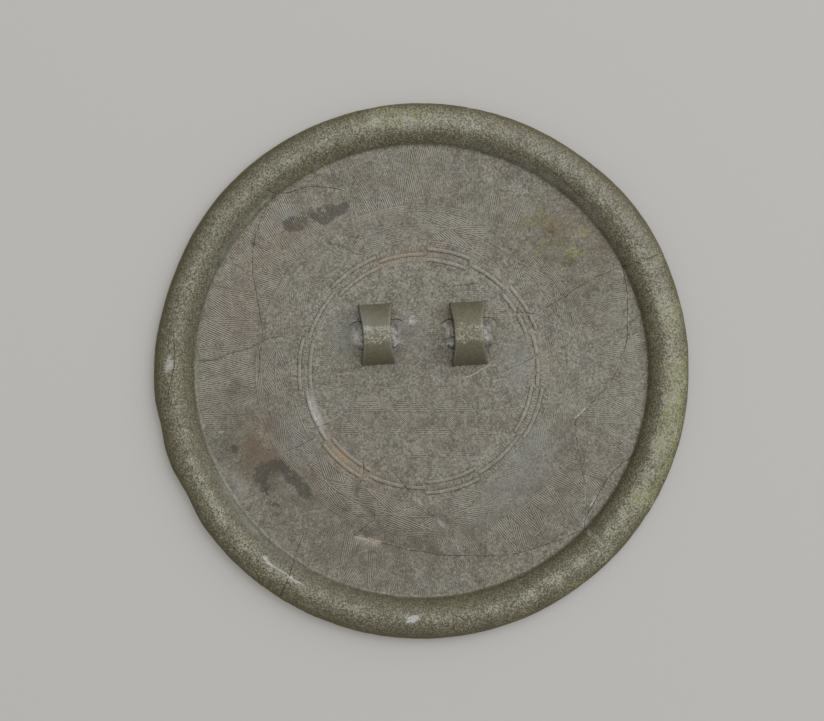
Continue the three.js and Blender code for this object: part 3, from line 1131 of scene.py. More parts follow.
class RidgeTree:
    """Geometry Nodes tree that sweeps the section of a raised line along chains of edges."""

    name = "Raised Lines"
    sizes = ("Foot Width", "Crest Width", "Height", "Wander", "Seed")
    wander_size = 3.0 * MM
    noise_middle = (0.5, 0.5, 0.5)
    noise_reach = (2.0, 2.0, 0.0)

    def __init__(self) -> None:
        """Builds the tree."""
        self.tree = bpy.data.node_groups.new(self.name, "GeometryNodeTree")
        sockets = (("Geometry", "INPUT", "Geometry"), ("Geometry", "OUTPUT", "Geometry"),
                   *((label, "INPUT", "Float") for label in self.sizes), ("Finish", "INPUT", "Material"))
        for label, way, kind in sockets:
            self.tree.interface.new_socket(label, in_out=way, socket_type="NodeSocket" + kind)
        desk = NodeDesk(self.tree)
        start = desk.add("NodeGroupInput").outputs
        swell = desk.add("GeometryNodeInputNamedAttribute", {"Name": "swell"}, data_type="FLOAT")
        curve = desk.add("GeometryNodeMeshToCurve", {"Mesh": self._wandering(desk, start)})
        upright = desk.add("GeometryNodeSetCurveNormal", {"Curve": curve.outputs["Curve"]}, mode="Z_UP")
        swelled = desk.add("GeometryNodeSetCurveRadius", {
            "Curve": upright.outputs["Curve"], "Radius": swell.outputs["Attribute"]})
        section = desk.add("GeometryNodeCurvePrimitiveQuadrilateral", {
            "Bottom Width": start["Crest Width"], "Top Width": start["Foot Width"],
            "Height": start["Height"], "Offset": 0.0}, mode="TRAPEZOID")
        sweep = desk.add("GeometryNodeCurveToMesh", {
            "Curve": swelled.outputs["Curve"], "Profile Curve": section.outputs["Curve"],
            "Scale": swell.outputs["Attribute"], "Fill Caps": True})
        whole = desk.add("GeometryNodeRealizeInstances", {"Geometry": sweep.outputs["Mesh"]})
        finish = desk.add("GeometryNodeSetMaterial", {
            "Geometry": whole.outputs["Geometry"], "Material": start["Finish"]})
        desk.add("NodeGroupOutput", {"Geometry": finish.outputs["Geometry"]})

    def _wandering(self, desk: NodeDesk, start: bpy.types.NodeOutputs) -> Socket:
        """Moves the chains sideways by a smooth noise, as a hand-cut line wanders."""
        place = desk.add("GeometryNodeInputPosition").outputs["Position"]
        noise = desk.add("ShaderNodeTexNoise", {
            "Vector": place, "W": start["Seed"], "Scale": 1.0 / self.wander_size, "Detail": 1.0},
            noise_dimensions="4D")
        moves = noise.outputs["Color"]
        for operation, second in (("SUBTRACT", self.noise_middle), ("MULTIPLY", self.noise_reach)):
            inputs = {"Vector": moves, "Vector_001": second}
            moves = desk.add("ShaderNodeVectorMath", inputs, operation=operation).outputs[0]
        scaled = desk.add("ShaderNodeVectorMath", {"Vector": moves, "Scale": start["Wander"]},
                          operation="SCALE")
        moved = desk.add("GeometryNodeSetPosition", {
            "Geometry": start["Geometry"], "Offset": scaled.outputs[0]})
        return moved.outputs["Geometry"]

    def apply(self, source: Piece, ridge: Ridge, seed: float,
              finish: bpy.types.Material) -> None:
        """Puts the tree on an object of chains as a modifier.

        Args:
            source: Object whose mesh is chains of edges.
            ridge: Section of the lines.
            seed: Seed of their wandering.
            finish: Material of the lines.
        """
        modifier = source.modifiers.new(self.name, "NODES")
        modifier.node_group = self.tree
        sizes = (ridge.foot, ridge.crest, ridge.height + ridge.root, ridge.wander, seed)
        values = {**dict(zip(self.sizes, sizes)), "Finish": finish}
        for item in self.tree.interface.items_tree:
            if item.in_out == "INPUT" and item.name in values:
                modifier[item.identifier] = values[item.name]


class Side(Enum):
    """Side of a triangle that its hatch runs along: the one at the smaller or the larger direction."""

    SMALLER = -1
    LARGER = 1


@dataclass(frozen=True)
class Wedge:
    """Triangle between two circles: a point on one and an arc of the other."""

    point_radius: float
    arc_radius: float
    middle: float
    half_turn: float

    def hatch(self, side: Side, pitch: float, margin: float) -> list[Array]:
        """Lines that fill the triangle, parallel to one of its sides.

        Args:
            side: The side that they run along.
            pitch: Distance between lines.
            margin: Room left at the triangle's borders.

        Returns:
            Straight lines, each as its two ends.
        """
        point = polar_point(self.point_radius, self.middle)
        near = polar_point(self.arc_radius, self.middle + side.value * self.half_turn)
        far = polar_point(self.arc_radius, self.middle - side.value * self.half_turn)
        along = (near - point) / np.linalg.norm(near - point)
        inward = np.array([-along[1], along[0]])
        inward *= np.sign(inward @ (far - point))
        other = (far - point) / np.linalg.norm(far - point)
        other_inward = np.array([-other[1], other[0]])
        other_inward *= np.sign(other_inward @ (near - point))
        low, high = sorted((self.point_radius, self.arc_radius))
        reach = 1.6 * np.linalg.norm(near - point)
        places = np.arange(-reach, reach, 0.2 * MM)
        lines = []
        for offset in np.arange(pitch, inward @ (far - point), pitch):
            samples = point + offset * inward + places[:, None] * along
            radius = np.hypot(samples[:, 0], samples[:, 1])
            inside = (radius > low + margin) & (radius < high - margin)
            inside &= (samples - point) @ other_inward > margin
            if np.count_nonzero(inside) > 3:
                kept = samples[inside]
                lines.append(np.array([kept[0], kept[-1]]))
        return lines


@dataclass(frozen=True)
class Band:
    """Zigzag band between two circles: its radii, the number and first direction of its inner points
    and the side of each triangle that its hatch runs along."""

    inner: float
    outer: float
    count: int
    first: float
    side: Side
    margin: float = 0.25 * MM

    def zigzag(self) -> list[Array]:
        """Straight borders of the band's triangles."""
        half = 180 / self.count
        lines = []
        for index in range(self.count):
            point = self.first + 2 * half * index
            for turn in (-half, half):
                ends = (polar_point(self.inner, point), polar_point(self.outer, point + turn))
                lines.append(np.array(ends))
        return lines

    def hatch(self, pitch: float) -> list[Array]:
        """Hatch of all triangles, as straight lines a pitch apart."""
        half = 180 / self.count
        lines = []
        for index in range(self.count):
            point = self.first + 2 * half * index
            lines += Wedge(self.inner, self.outer, point, half).hatch(self.side, pitch, self.margin)
            lines += Wedge(self.outer, self.inner, point + half, half).hatch(self.side, pitch, self.margin)
        return lines


@dataclass(frozen=True)
class ClearStretch:
    """Stretch of the back where the fine pattern is less worn."""

    start: float
    end: float
    inner: float
    outer: float
    gain: float


CLEAR_STRETCHES = tuple(ClearStretch(*row) for row in (
    (60, 92, 36, 45, 0.35), (104, 122, 36, 41, 0.3), (181, 190, 36, 45, 0.3), (198, 210, 36, 45, 0.4),
    (223, 277, 36, 46, 0.6), (281, 298, 36, 45, 0.5), (299, 322, 36, 45, 0.35),
    (330, 338, 36, 45, 0.25), (54, 72, 46, 56, 0.35), (94, 111, 46, 62, 0.35), (127, 192, 46, 63, 0.5),
    (244, 263, 50, 63, 0.45), (293, 331, 46, 60, 0.5), (200, 340, 8, 29, 0.25),
))


class Wear:
    """How much of the fine pattern is left at each place on the back."""

    start = 0.36
    variation = 0.36
    fine_variation = 0.34
    soft_degrees = 7.0
    soft_reach = 2.0

    def left(self, plan: Array) -> Array:
        """Share of a line's height that wear has left.

        Args:
            plan: Points of the plan.

        Returns:
            Shares from below 0, where the line is gone, to 1.
        """
        radius, angle = polar(plan)
        radius = radius / MM
        angle = np.degrees(angle) % 360
        share = self.start + self.variation * BROAD_WEAR.layered(plan, 2)
        share += self.fine_variation * FINE_WEAR.layered(plan, 2)
        for stretch in CLEAR_STRETCHES:
            across = between(angle, stretch.start, stretch.end, self.soft_degrees)
            share += stretch.gain * across * between(radius, stretch.inner, stretch.outer, self.soft_reach)
        return np.clip(share, -1.0, 1.0)


@dataclass(frozen=True)
class Pattern:
    """Layout of the cast pattern on the back."""

    ring_inner: float = 30.4 * MM
    ring_row: float = 1.5 * MM
    bar_end_gap: float = 0.3 * MM
    ring_margin: float = 1.4 * MM
    lozenge_row: float = 4.5 * MM
    lozenge_outer_row: float = 4.0 * MM
    lozenge_count: int = 12
    lozenge_first: float = 4.5
    border: float = 1.4 * MM
    ray_count: int = 44
    ray_first: float = -1.4
    field_radius: float = 63.3 * MM
    hatch_pitch: float = 0.56 * MM
    square: float = 6.4 * MM
    square_x: float = 3.0 * MM
    square_y: float = -11.75 * MM
    block_ends: tuple[float, ...] = (-1, 19.8, 43.8, 66, 87.5, 111.5, 137.5, 163.8, 189.5, 216.5, 243.5,
                                     272, 298.8, 326.5, 352.3, 359)
    lozenge_inner: float = ring_inner + 3 * ring_row + ring_margin
    lozenge_middle: float = lozenge_inner + lozenge_row
    lozenge_outer: float = lozenge_middle + lozenge_outer_row
    ray_inner: float = lozenge_outer + border
    lozenge_bands: tuple[Band, ...] = (
        Band(lozenge_inner, lozenge_middle, lozenge_count, lozenge_first, Side.SMALLER),
        Band(lozenge_middle, lozenge_outer, lozenge_count, lozenge_first + 180 / lozenge_count,
             Side.LARGER),
    )
    ray_band: Band = Band(ray_inner, field_radius, ray_count, ray_first, Side.SMALLER)

    def arc(self, radius: float, start: float, end: float, step: float = 0.6 * MM) -> Array:
        """Points of an arc between two directions in degrees."""
        count = max(2, int(radius * math.radians(abs(end - start)) / step) + 1)
        angle = np.radians(np.linspace(start, end, count))
        return from_polar(radius, angle)

    def bars(self) -> list[Array]:
        """Middle lines of the smooth bars in the three rows of the ring."""
        chains = []
        for block, (start, end) in enumerate(zip(self.block_ends, self.block_ends[1:])):
            for row in ((1,) if block % 2 == 0 else (0, 2)):
                radius = self.ring_inner + (row + 0.5) * self.ring_row
                gap = math.degrees(self.bar_end_gap / 2 / self.ring_inner)
                chains.append(self.arc(radius, start + gap, end - gap))
        return chains

    def ring_hatch(self) -> list[Array]:
        """Short radial lines in the cells between the smooth bars."""
        chains = []
        turn = math.degrees(0.72 * MM / self.ring_inner)
        for block, (start, end) in enumerate(zip(self.block_ends, self.block_ends[1:])):
            rows = (0, 2) if block % 2 == 0 else (1,)
            for row in rows:
                inner = self.ring_inner + row * self.ring_row + 0.1 * MM
                for direction in np.arange(start + turn, end - turn / 2, turn):
                    outer = inner + self.ring_row - 0.2 * MM
                    chains.append(np.array([polar_point(inner, direction), polar_point(outer, direction)]))
        return chains

    def circles(self) -> list[Array]:
        """Raised circles on both sides of the pattern bands."""
        radii = (self.lozenge_inner, self.lozenge_middle, self.lozenge_outer, self.ray_inner)
        return [self.arc(radius, 0, 360) for radius in radii]

    def border_circles(self) -> list[Array]:
        """Fine circles in the plain border between lozenges and rays."""
        return [self.arc(self.lozenge_outer + self.border * share, 0, 360) for share in (1 / 3, 2 / 3)]

    def zigzags(self) -> list[Array]:
        """Borders of the lozenges and of the rays."""
        return [line for band in (*self.lozenge_bands, self.ray_band) for line in band.zigzag()]

    def lozenge_hatch(self) -> list[Array]:
        """Hatch of the two rows of the lozenge band."""
        return [line for band in self.lozenge_bands for line in band.hatch(self.hatch_pitch)]

    def ray_hatch(self) -> list[Array]:
        """Hatch of the band of rays."""
        return self.ray_band.hatch(self.hatch_pitch)

    def field_hatch(self) -> list[Array]:
        """Hatch of the squares inside the ring: half of each runs across, half along its diagonal."""
        radius = self.ring_inner - 1.1 * MM
        reach = int(radius / self.square) + 2
        lines = []
        for column in range(-reach, reach + 1):
            for row in range(-reach, reach + 1):
                corner = np.array([self.square_x + column * self.square, self.square_y + row * self.square])
                lines += self._square_lines(corner, (column + row) % 2 == 0)
        kept = []
        for line in lines:
            inside = np.hypot(*resampled(line, 0.3 * MM).T) < radius
            if np.count_nonzero(inside) > 3:
                kept.append(resampled(line, 0.3 * MM)[inside][[0, -1]])
        return kept

    def _square_lines(self, corner: Array, rising: bool) -> list[Array]:
        """Lines of one square with its lowest corner at a place.

        Args:
            corner: Lower left corner.
            rising: Whether the diagonal rises to the right.

        Returns:
            Straight lines, each as its two ends.
        """
        lines = []
        count = int(self.square / self.hatch_pitch)
        for step in range(1, count):
            share = step / count
            start = share if rising else 0.0
            end = 1.0 if rising else 1.0 - share
            lines.append(np.array([(start, share), (end, share)]))
            if rising:
                lines.append(np.array([(0.0, share), (1.0 - share, 1.0)]))
            else:
                lines.append(np.array([(share, 1.0), (1.0, share)]))
        return [corner + self.square * line for line in lines if np.ptp(line, axis=0).max() > 0.12]


class RaisedLines:
    """One family of raised lines on the back, laid on the worn surface and broken where it is broken."""

    sample = 0.4 * MM
    crack_gap = 0.16 * MM
    end_taper = 0.6 * MM
    least_left = 0.12
    most_hollow = 0.15
    loop_margin = 0.15 * MM

    def __init__(self, name: str, chains: Sequence[Array], ridge: Ridge, keeping: float,
                 every: int = 2, crest_wear_and_highlight: float = 1.0, outline: float = 0.35,
                 end_share: float = 0.5) -> None:
        """Keeps what the family is made from.

        Args:
            name: Name of the piece.
            chains: Plan lines.
            ridge: Section of the lines.
            keeping: Share of its height that even a worn line keeps.
            every: A mesh point is kept for each of this many samples.
            crest_wear_and_highlight: How much lighter than the plate the crests are, from wear and as
                painted highlight.
            outline: How much painted shade darkens the lines at their foot.
            end_share: Share of its full size that a line has at its ends.
        """
        self.name = name
        self.chains = chains
        self.ridge = ridge
        self.keeping = keeping
        self.every = every
        self.crest_wear_and_highlight = crest_wear_and_highlight
        self.outline = outline
        self.end_share = end_share

    def _shown(self, casting: Casting, plan: Array, left: Array) -> Array:
        """Whether each point of the lines still stands clear of the plate."""
        shown = left > self.least_left
        for line in casting.back_breaks:
            gap = line.origin.width / 2 + self.crack_gap
            distance, _ = distance_to_path(plan, line.path, gap)
            shown &= distance > gap
        for loop in LOOPS:
            shown &= ~loop.covers(plan, self.loop_margin)
            shown &= loop.hollow(plan) < self.most_hollow
        return shown

    def build(self, casting: Casting, wear: Wear, tree: RidgeTree, seed: int,
              finish: bpy.types.Material) -> Piece:
        """Makes the family as one plain mesh.

        Args:
            casting: Casting that the lines stand on.
            wear: Wear of the back.
            tree: Tree that sweeps the lines.
            seed: Seed of their wandering.
            finish: Material of the lines.

        Returns:
            The object of the family.
        """
        samples = [resampled(chain, self.sample) for chain in self.chains]
        owner = np.repeat(np.arange(len(samples)), [len(chain) for chain in samples])
        plan = np.vstack(samples)
        left = self.keeping + (1 - self.keeping) * wear.left(plan)
        shown = self._shown(casting, plan, left)
        ridge = self.ridge
        middle = casting.line_height(plan) + (ridge.height * left * 2 - ridge.height - ridge.root) / 2
        points: list[Array] = []
        swells: list[Array] = []
        edges: list[tuple[int, int]] = []
        first = 0
        starts = np.flatnonzero(np.diff(np.concatenate([[0], shown.astype(int), [0]])) != 0)
        for start, end in starts.reshape(-1, 2):
            for low, high in self._split(owner, start, end):
                if high - low < 3:
                    continue
                kept = np.unique(np.append(np.arange(low, high, self.every), high - 1))
                space = np.column_stack([plan[kept], middle[kept]])
                places = np.arange(len(kept))
                ends = np.minimum(places, places[::-1]) * self.sample * self.every
                points.append(space)
                swells.append(np.clip(self.end_share + ends / self.end_taper, 0.0, 1.0))
                edges.extend((first + index, first + index + 1) for index in range(len(kept) - 1))
                first += len(kept)
        source = new_object(self.name + "_chains", np.vstack(points), [], edges)
        set_point_values(source.data, "swell", np.concatenate(swells))
        tree.apply(source, self.ridge, float(seed), finish)
        piece = baked(source, self.name)
        space = mesh_points(piece.data)
        above = (space[:, 2] - casting.line_height(space[:, :2])) / self.ridge.height
        # Crests of the lines are lighter, from wear and as painted highlight.
        set_point_values(piece.data, "crest", np.clip(above, -1.0, 1.0) * self.crest_wear_and_highlight)
        # Painted shade at the lines' foot.
        set_point_values(piece.data, "foot", np.clip(1.0 - above, 0.0, 1.0) * self.outline)
        return piece

    def _split(self, owner: Array, start: int, end: int) -> list[tuple[int, int]]:
        """Cuts a run of samples where one line ends and the next begins."""
        cuts = np.flatnonzero(np.diff(owner[start:end])) + 1 + start
        limits = [start, *cuts.tolist(), end]
        return list(zip(limits, limits[1:]))


class Stain(Enum):
    """Kinds of colouring on the bronze, painted shade and painted highlights among them, each stored as one
    value for each point.
    """

    CRUST = "crust"
    OLIVE = "olive"
    RUDDY = "ruddy"
    DARK = "dark"
    EARTH = "earth"
    PALE = "pale"
    HAZE = "haze"
    # Painted shade in cracks, in small pits and along the straps' sides.
    GAP_SHADE = "gap"
    # Painted shade: darker brown, mostly over the lower and left side of the back.
    BROWN = "brown"
    RIM = "rim"
    # Wear on the crests of rim and straps, partly a painted highlight, stronger on the upper side of the
    # rim.
    WORN_AND_HIGHLIGHT = "worn"
    # Grit of the crust and of the hollows, and painted glints along the crests of rim and straps.
    GRIT_AND_GLINT = "grit_and_glint"
    STRAP = "strap"


@dataclass(frozen=True)
class Patch:
    """Soft-edged stain: direction, radius in millimetres, reach round and across in millimetres."""

    stain: Stain
    direction: float
    radius: float
    around: float
    across: float
    strength: float

    def share(self, plan: Array) -> Array:
        """Strength of the stain at points of the developed plan."""
        radius, angle = polar(plan)
        along = turn_between(angle, self.direction) * radius / (self.around * MM)
        away = (radius / MM - self.radius) / self.across
        return self.strength * np.exp(-(along ** 2 + away ** 2))


STAIN_PATCHES = {
    Stain.DARK: (
        (121, 51.3, 3.8, 2.6, 1.7), (127, 53.6, 4.6, 2.2, 1.6), (116, 50.6, 2.6, 1.3, 1.1),
        (132.6, 55.6, 2.6, 1.6, 1.3), (105, 51.5, 2.5, 1.8, 0.5), (47, 51.5, 5, 4, 0.75),
        (212.5, 51.6, 2.4, 3, 1.2), (216.4, 47.6, 3.4, 1.9, 1.5), (222, 46.4, 3.4, 1.9, 1.5),
        (226.5, 47.4, 2.6, 1.9, 1.4), (203, 56.5, 1.4, 1.1, 1.4), (219, 55, 6, 3, 0.8)),
    Stain.CRUST: (
        (62.5, 52.5, 1.2, 1.2, 0.6), (76, 59.5, 2, 2, 0.55), (83, 60, 2, 2, 0.55),
        (91.5, 57.5, 2.5, 2, 0.6), (88, 54, 1.5, 1.5, 0.45), (95, 53.6, 1.5, 1.5, 0.45),
        (40, 57, 9, 6, 0.45), (60, 53, 14, 8, 0.42), (44, 45, 12, 8, 0.36), (20, 60, 8, 4, 0.35),
        (116, 55.5, 6, 3, 0.45), (132, 64.6, 24, 1.3, 0.42), (212, 64.5, 22, 1.3, 0.45),
        (250, 64.6, 14, 1.1, 0.3)),
    Stain.HAZE: (
        (220, 64.9, 22, 1.3, 0.5), (138, 64.9, 26, 1.3, 0.5), (58, 65.0, 26, 1.5, 0.4),
        (150, 22.9, 6, 5, 0.7), (120.7, 11.7, 5, 4, 0.5), (3.5, 27, 6, 4, 0.6),
        (322.3, 38.4, 8, 5, 0.6), (301.4, 42.2, 8, 5, 0.5), (131.3, 57, 3.6, 1.4, 0.8),
        (210, 40, 8, 4, 0.4)),
    # Painted shade, mostly over the lower and left side of the back.
    Stain.BROWN: (
        (225, 50, 34, 13, 0.75), (272, 50, 26, 12, 0.45), (318, 52, 26, 12, 0.5),
        (180, 54, 16, 10, 0.3), (90, 54, 20, 10, 0.25), (270, 12, 60, 24, 0.25)),
    Stain.OLIVE: (
        (30, 52, 16, 9, 0.32), (50, 51, 17, 11, 0.26), (113, 56, 6, 4, 0.4), (205, 57, 10, 5, 0.25)),
    Stain.RUDDY: (
        (46.5, 53.5, 4.2, 4.2, 0.9), (209, 51, 7, 5, 0.7), (135, 55, 16, 8, 0.5),
        (160, 54, 14, 7, 0.45), (225, 46, 8, 5, 0.6), (201.7, 48.4, 7, 5, 0.6), (90, 33, 14, 2, 0.4),
        (40, 61, 9, 4, 0.45), (240, 33, 14, 3, 0.55)),
    Stain.EARTH: (
        (230, 32.6, 8, 1.6, 0.75), (100, 32.0, 9, 1.4, 0.35), (45, 33.5, 7, 1.2, 0.3),
        (8, 33.5, 5, 2.5, 0.35)),
    Stain.PALE: (
        (212, 60.5, 6, 2.5, 0.2), (202.5, 31.9, 5.5, 0.9, 0.9)),
}

PATCHES = tuple(Patch(stain, *row) for stain, rows in STAIN_PATCHES.items() for row in rows)


@dataclass(frozen=True)
class CrustSector:
    """Stretch of the rim with more crust: its direction, reach in radians, density and steepness."""

    direction: float
    reach: float
    density: float
    power: int = 2

    def at(self, angle: Array) -> Array:
        """Density at directions in radians."""
        return self.density * np.exp(-(turn_between(angle, self.direction) / self.reach) ** self.power)


CRUST_SECTORS = (
    CrustSector(-20, 0.85, 0.37, 4),
    CrustSector(212, 0.5, 0.14),
    CrustSector(95, 0.42, 0.24),
)


class PatinaMap:
    """Where each kind of colouring lies on the mirror."""

    least_crust = 0.14
    most_crust = 0.6
    # Direction of the light crust along the rim's foot, which also stands in as painted light where the rim
    # shades its foot.
    crust_and_painted_light_direction = 95.0
    # Direction where the rim's crest is lightest, from wear and as painted highlight.
    rubbed_and_highlight_direction = 75.0
    # Direction where the rim's foot gets the least painted shade.
    least_foot_shade_direction = 160.0
    # Direction where the rim's outer edge gets the most painted shade.
    edge_shade_direction = 155.0

    def __init__(self, casting: Casting) -> None:
        """Keeps the casting whose forms the patina follows."""
        self.casting = casting

    def values(self, points: Array) -> dict[Stain, Array]:
        """Strength of each stain, painted shade and painted highlights among them, at points of the mirror.

        Args:
            points: Points in space.

        Returns:
            For each stain, one share from 0 to 1 for each point.
        """
        section = self.casting.section
        plan = section.developed(points)
        run, angle = polar(plan)
        out = (run - section.field_radius) / MM
        rim = eased(out / 1.6 + 0.4)
        shares = {stain: np.zeros(len(points)) for stain in Stain}
        ragged = 1.0 + 0.6 * STAIN_EDGES.layered(plan, 3)
        for patch in PATCHES:
            shares[patch.stain] += patch.share(plan) * ragged
        shares[Stain.RIM] = rim
        # Wear and painted highlight along the rim's crest, strongest on the upper side.
        rubbed_and_highlight = 0.8 + 0.35 * np.cos(turn_between(angle, self.rubbed_and_highlight_direction))
        shares[Stain.WORN_AND_HIGHLIGHT] = rim * rubbed_and_highlight * np.exp(-((out - 8.0) / 3.2) ** 2)
        crust = self._rim_crust(angle, out, plan)
        # Light specks of the crust, and painted glints along the crest.
        crest = np.exp(-((out - 7.5) / 2.2) ** 2)
        shares[Stain.GRIT_AND_GLINT] = rim * np.clip(1.3 * crust + 0.5 * crest, 0.0, 1.0)
        shares[Stain.CRUST] += rim * crust
        # Olive tone of the rim, partly painted shade at its foot and outer edge.
        shares[Stain.OLIVE] += rim * self._rim_olive(angle, out)
        self._add_loops(points, shares)
        for chip in CHIPS:
            shares[Stain(chip.filling.value)] += chip.share(plan, section) * chip.strength
        for line in self.casting.back_breaks:
            self._add_break(plan, line, shares)
        return {stain: np.clip(share, 0.0, 1.0) for stain, share in shares.items()}

    def _rim_crust(self, angle: Array, out: Array, plan: Array) -> Array:
        """Density of green speckle on the rim, which along the foot's inner slope is also painted light
        where the rim shades its foot.

        Args:
            angle: Directions in radians.
            out: Millimetres outwards over the rim from its foot.
            plan: Points of the developed plan.

        Returns:
            Densities.
        """
        density = np.full(len(angle), self.least_crust)
        for sector in CRUST_SECTORS:
            density += sector.at(angle)
        height = (0.2 + 0.8 * eased((out - 3.5) / 4)) * (1.0 - 0.35 * eased((out - 12.5) / 2.5))
        # Painted light with the crust: lighter along the foot's inner slope about one direction, where the
        # rim shades it.
        away = 0.5 + 0.5 * np.cos(turn_between(angle, self.crust_and_painted_light_direction))
        inner = 0.26 * away ** 2 * (1.0 - eased((out - 2.0) / 4.5))
        density = (density * height + inner) * (1.0 + 0.45 * CRUST_CLUSTERS.layered(plan, 3))
        return np.minimum(density, self.most_crust)

    def _rim_olive(self, angle: Array, out: Array) -> Array:
        """Strength of the dark olive tone over the rim, strongest at its foot and its outer edge, where it
        is partly painted shade.
        """
        foot = 1.0 - eased(out / 3.5)
        edge = eased((out - 11.0) / 4.0)
        # Painted shade at the foot, least about one direction, and at the outer edge, most about another.
        away = 0.5 + 0.5 * np.cos(turn_between(angle, self.least_foot_shade_direction))
        brown = np.exp(-(turn_between(angle, self.edge_shade_direction) / 1.0) ** 2)
        return 0.14 + 0.65 * foot * (1.0 - away) ** 2 + (0.7 + 0.7 * brown) * edge

    def _add_loops(self, points: Array, shares: dict[Stain, Array]) -> None:
        """Adds the tones of the strap loops and of the hollows beside them, with painted light in the
        hollow on the strap's shadowed side and painted shade along the strap's sides.
        """
        thickness = self.casting.section.thickness
        raised = eased((points[:, 2] - thickness - 0.1 * MM) / (0.6 * MM))
        for loop in LOOPS:
            strap = raised * loop.covers(points, 0.3 * MM)
            worn = loop.crest_share(points[:, :2]) * eased((points[:, 2] - thickness) / (3.0 * MM) - 1.0)
            shares[Stain.STRAP] += strap
            shares[Stain.RIM] += strap
            # Wear and painted highlight on the strap's crest, and painted glints there.
            shares[Stain.WORN_AND_HIGHLIGHT] += 0.12 * strap * worn
            shares[Stain.GRIT_AND_GLINT] += strap * (1.4 * worn + 0.1)
            shares[Stain.PALE] += 0.18 * strap * loop.beside(points, 0.3 * MM)
            hollow = loop.hollow(points[:, :2]) * (1.0 - raised)
            shadowed = eased(-loop.on_plate(points)[:, 0] / (3.0 * MM))
            patchy = 0.75 + 0.6 * HOLLOW_PATCHES.layered(points[:, :2], 2)
            shares[Stain.HAZE] += 1.2 * hollow * patchy
            # Painted light: the hollow is painted lighter on the side where the strap's shadow falls.
            shares[Stain.PALE] += hollow * patchy * (0.55 + 1.9 * shadowed)
            # Painted shade along the strap's long sides, strongest on its shadowed side.
            shares[Stain.GAP_SHADE] += (1.0 - raised) * (0.45 + 0.55 * shadowed) * loop.beside(points, 0.4 * MM)
            shares[Stain.GRIT_AND_GLINT] += 0.6 * hollow

    def _add_break(self, plan: Array, line: BreakLine, shares: dict[Stain, Array]) -> None:
        """Darkens the bottom of a break with painted shade, and adds the light mineral that shows in places
        along it.
        """
        opened = line.openness(plan)
        # Painted shade in the bottom of the break.
        shares[Stain.GAP_SHADE] += opened * line.origin.dark
        if line.origin.scratch:
            shares[Stain.PALE] += 1.6 * opened * line.origin.pale
        elif line.origin.pale > 0.0:
            distance, _ = distance_to_path(plan, line.path, 1.2 * MM)
            along = np.clip(PALE_STRETCHES.layered(plan, 2), 0, 1)
            shares[Stain.PALE] += line.origin.pale * along * np.exp(-(distance / (0.45 * MM)) ** 2)

    def dress(self, piece: Piece) -> None:
        """Stores the stains on a piece."""
        shares = self.values(mesh_points(piece.data))
        for stain, share in shares.items():
            set_point_values(piece.data, stain.value, share)


class ShaderGroup:
    """Shader node group with named inputs and outputs, which more than one finish uses."""

    def __init__(self, name: str, inputs: dict[str, object], outputs: Sequence[str],
                 fill: Callable[[NodeDesk, bpy.types.Node], dict[str, Socket]]) -> None:
        """Builds the group.

        Args:
            name: Name of the group.
            inputs: Name and usual value of each input, or None for a vector that is always joined.
            outputs: Names of the outputs.
            fill: Adds the nodes between and gives the socket for each output.
        """
        self.tree = bpy.data.node_groups.new(name, "ShaderNodeTree")
        for label, value in inputs.items():
            kind = "NodeSocketVector" if value is None else "NodeSocketFloat"
            socket = self.tree.interface.new_socket(label, in_out="INPUT", socket_type=kind)
            if value is not None:
                socket.default_value = value
        for label in outputs:
            self.tree.interface.new_socket(label, in_out="OUTPUT", socket_type="NodeSocketFloat")
        desk = NodeDesk(self.tree)
        start = desk.add("NodeGroupInput")
        results = fill(desk, start)
        desk.add("NodeGroupOutput", dict(results))

    def placed(self, desk: NodeDesk, inputs: dict[str, object]) -> bpy.types.Node:
        """Adds the group to a material with its own values."""
        return desk.add("ShaderNodeGroup", inputs, node_tree=self.tree)


def cloudy(desk: NodeDesk, start: bpy.types.Node, detail: object, roughness: float) -> Socket:
    """Noise with the place, the size and the seed that a group is given."""
    scale = desk.calculate("DIVIDE", 1.0, start.outputs["Size"])
    return desk.noise(start.outputs["Place"], scale, detail, start.outputs["Seed"], roughness)


def fill_speckle(desk: NodeDesk, start: bpy.types.Node) -> dict[str, Socket]:
    """Nodes of the speckle: spots where a noise passes a limit that falls as the amount rises."""
    amount = start.outputs["Amount"]
    noise = cloudy(desk, start, start.outputs["Detail"], 0.7)
    above = desk.calculate("SUBTRACT", noise, desk.sloped(amount, -0.42, 0.74))
    spots = desk.calculate("DIVIDE", above, start.outputs["Softness"], clamped=True)
    return {"Spots": desk.times(spots, desk.times(amount, 8.0, clamped=True))}


def fill_blotches(desk: NodeDesk, start: bpy.types.Node) -> dict[str, Socket]:
    """Nodes of the blotches: a cloudy noise pulled apart about its middle."""
    centred = desk.calculate("SUBTRACT", cloudy(desk, start, 5.0, 0.6), 0.5)
    return {"Cloud": desk.sloped(centred, start.outputs["Contrast"], 0.5, clamped=True)}


def fill_grain(desk: NodeDesk, start: bpy.types.Node) -> dict[str, Socket]:
    """Nodes of the cast grain: fine pitting and coarser lumps as one height."""
    place = start.outputs["Place"]
    fine = desk.noise(place, 1 / (0.45 * MM), 4.0, 3.0)
    coarse = desk.noise(place, 1 / (2.2 * MM), 3.0, 8.0)
    return {"Height": desk.sloped(coarse, start.outputs["Coarse"], desk.times(fine, start.outputs["Fine"]))}


class Effects:
    """Shader groups that the finishes share."""

    def __init__(self) -> None:
        """Builds the groups."""
        self.speckle = ShaderGroup("Speckle", {
            "Place": None, "Size": 1.0 * MM, "Amount": 0.5, "Softness": 0.08, "Detail": 3.0,
            "Seed": 0.0}, ["Spots"], fill_speckle)
        self.blotches = ShaderGroup("Blotches", {
            "Place": None, "Size": 10 * MM, "Contrast": 2.0, "Seed": 0.0}, ["Cloud"], fill_blotches)
        self.grain = ShaderGroup("Cast Grain", {
            "Place": None, "Fine": 0.03 * MM, "Coarse": 0.05 * MM}, ["Height"], fill_grain)


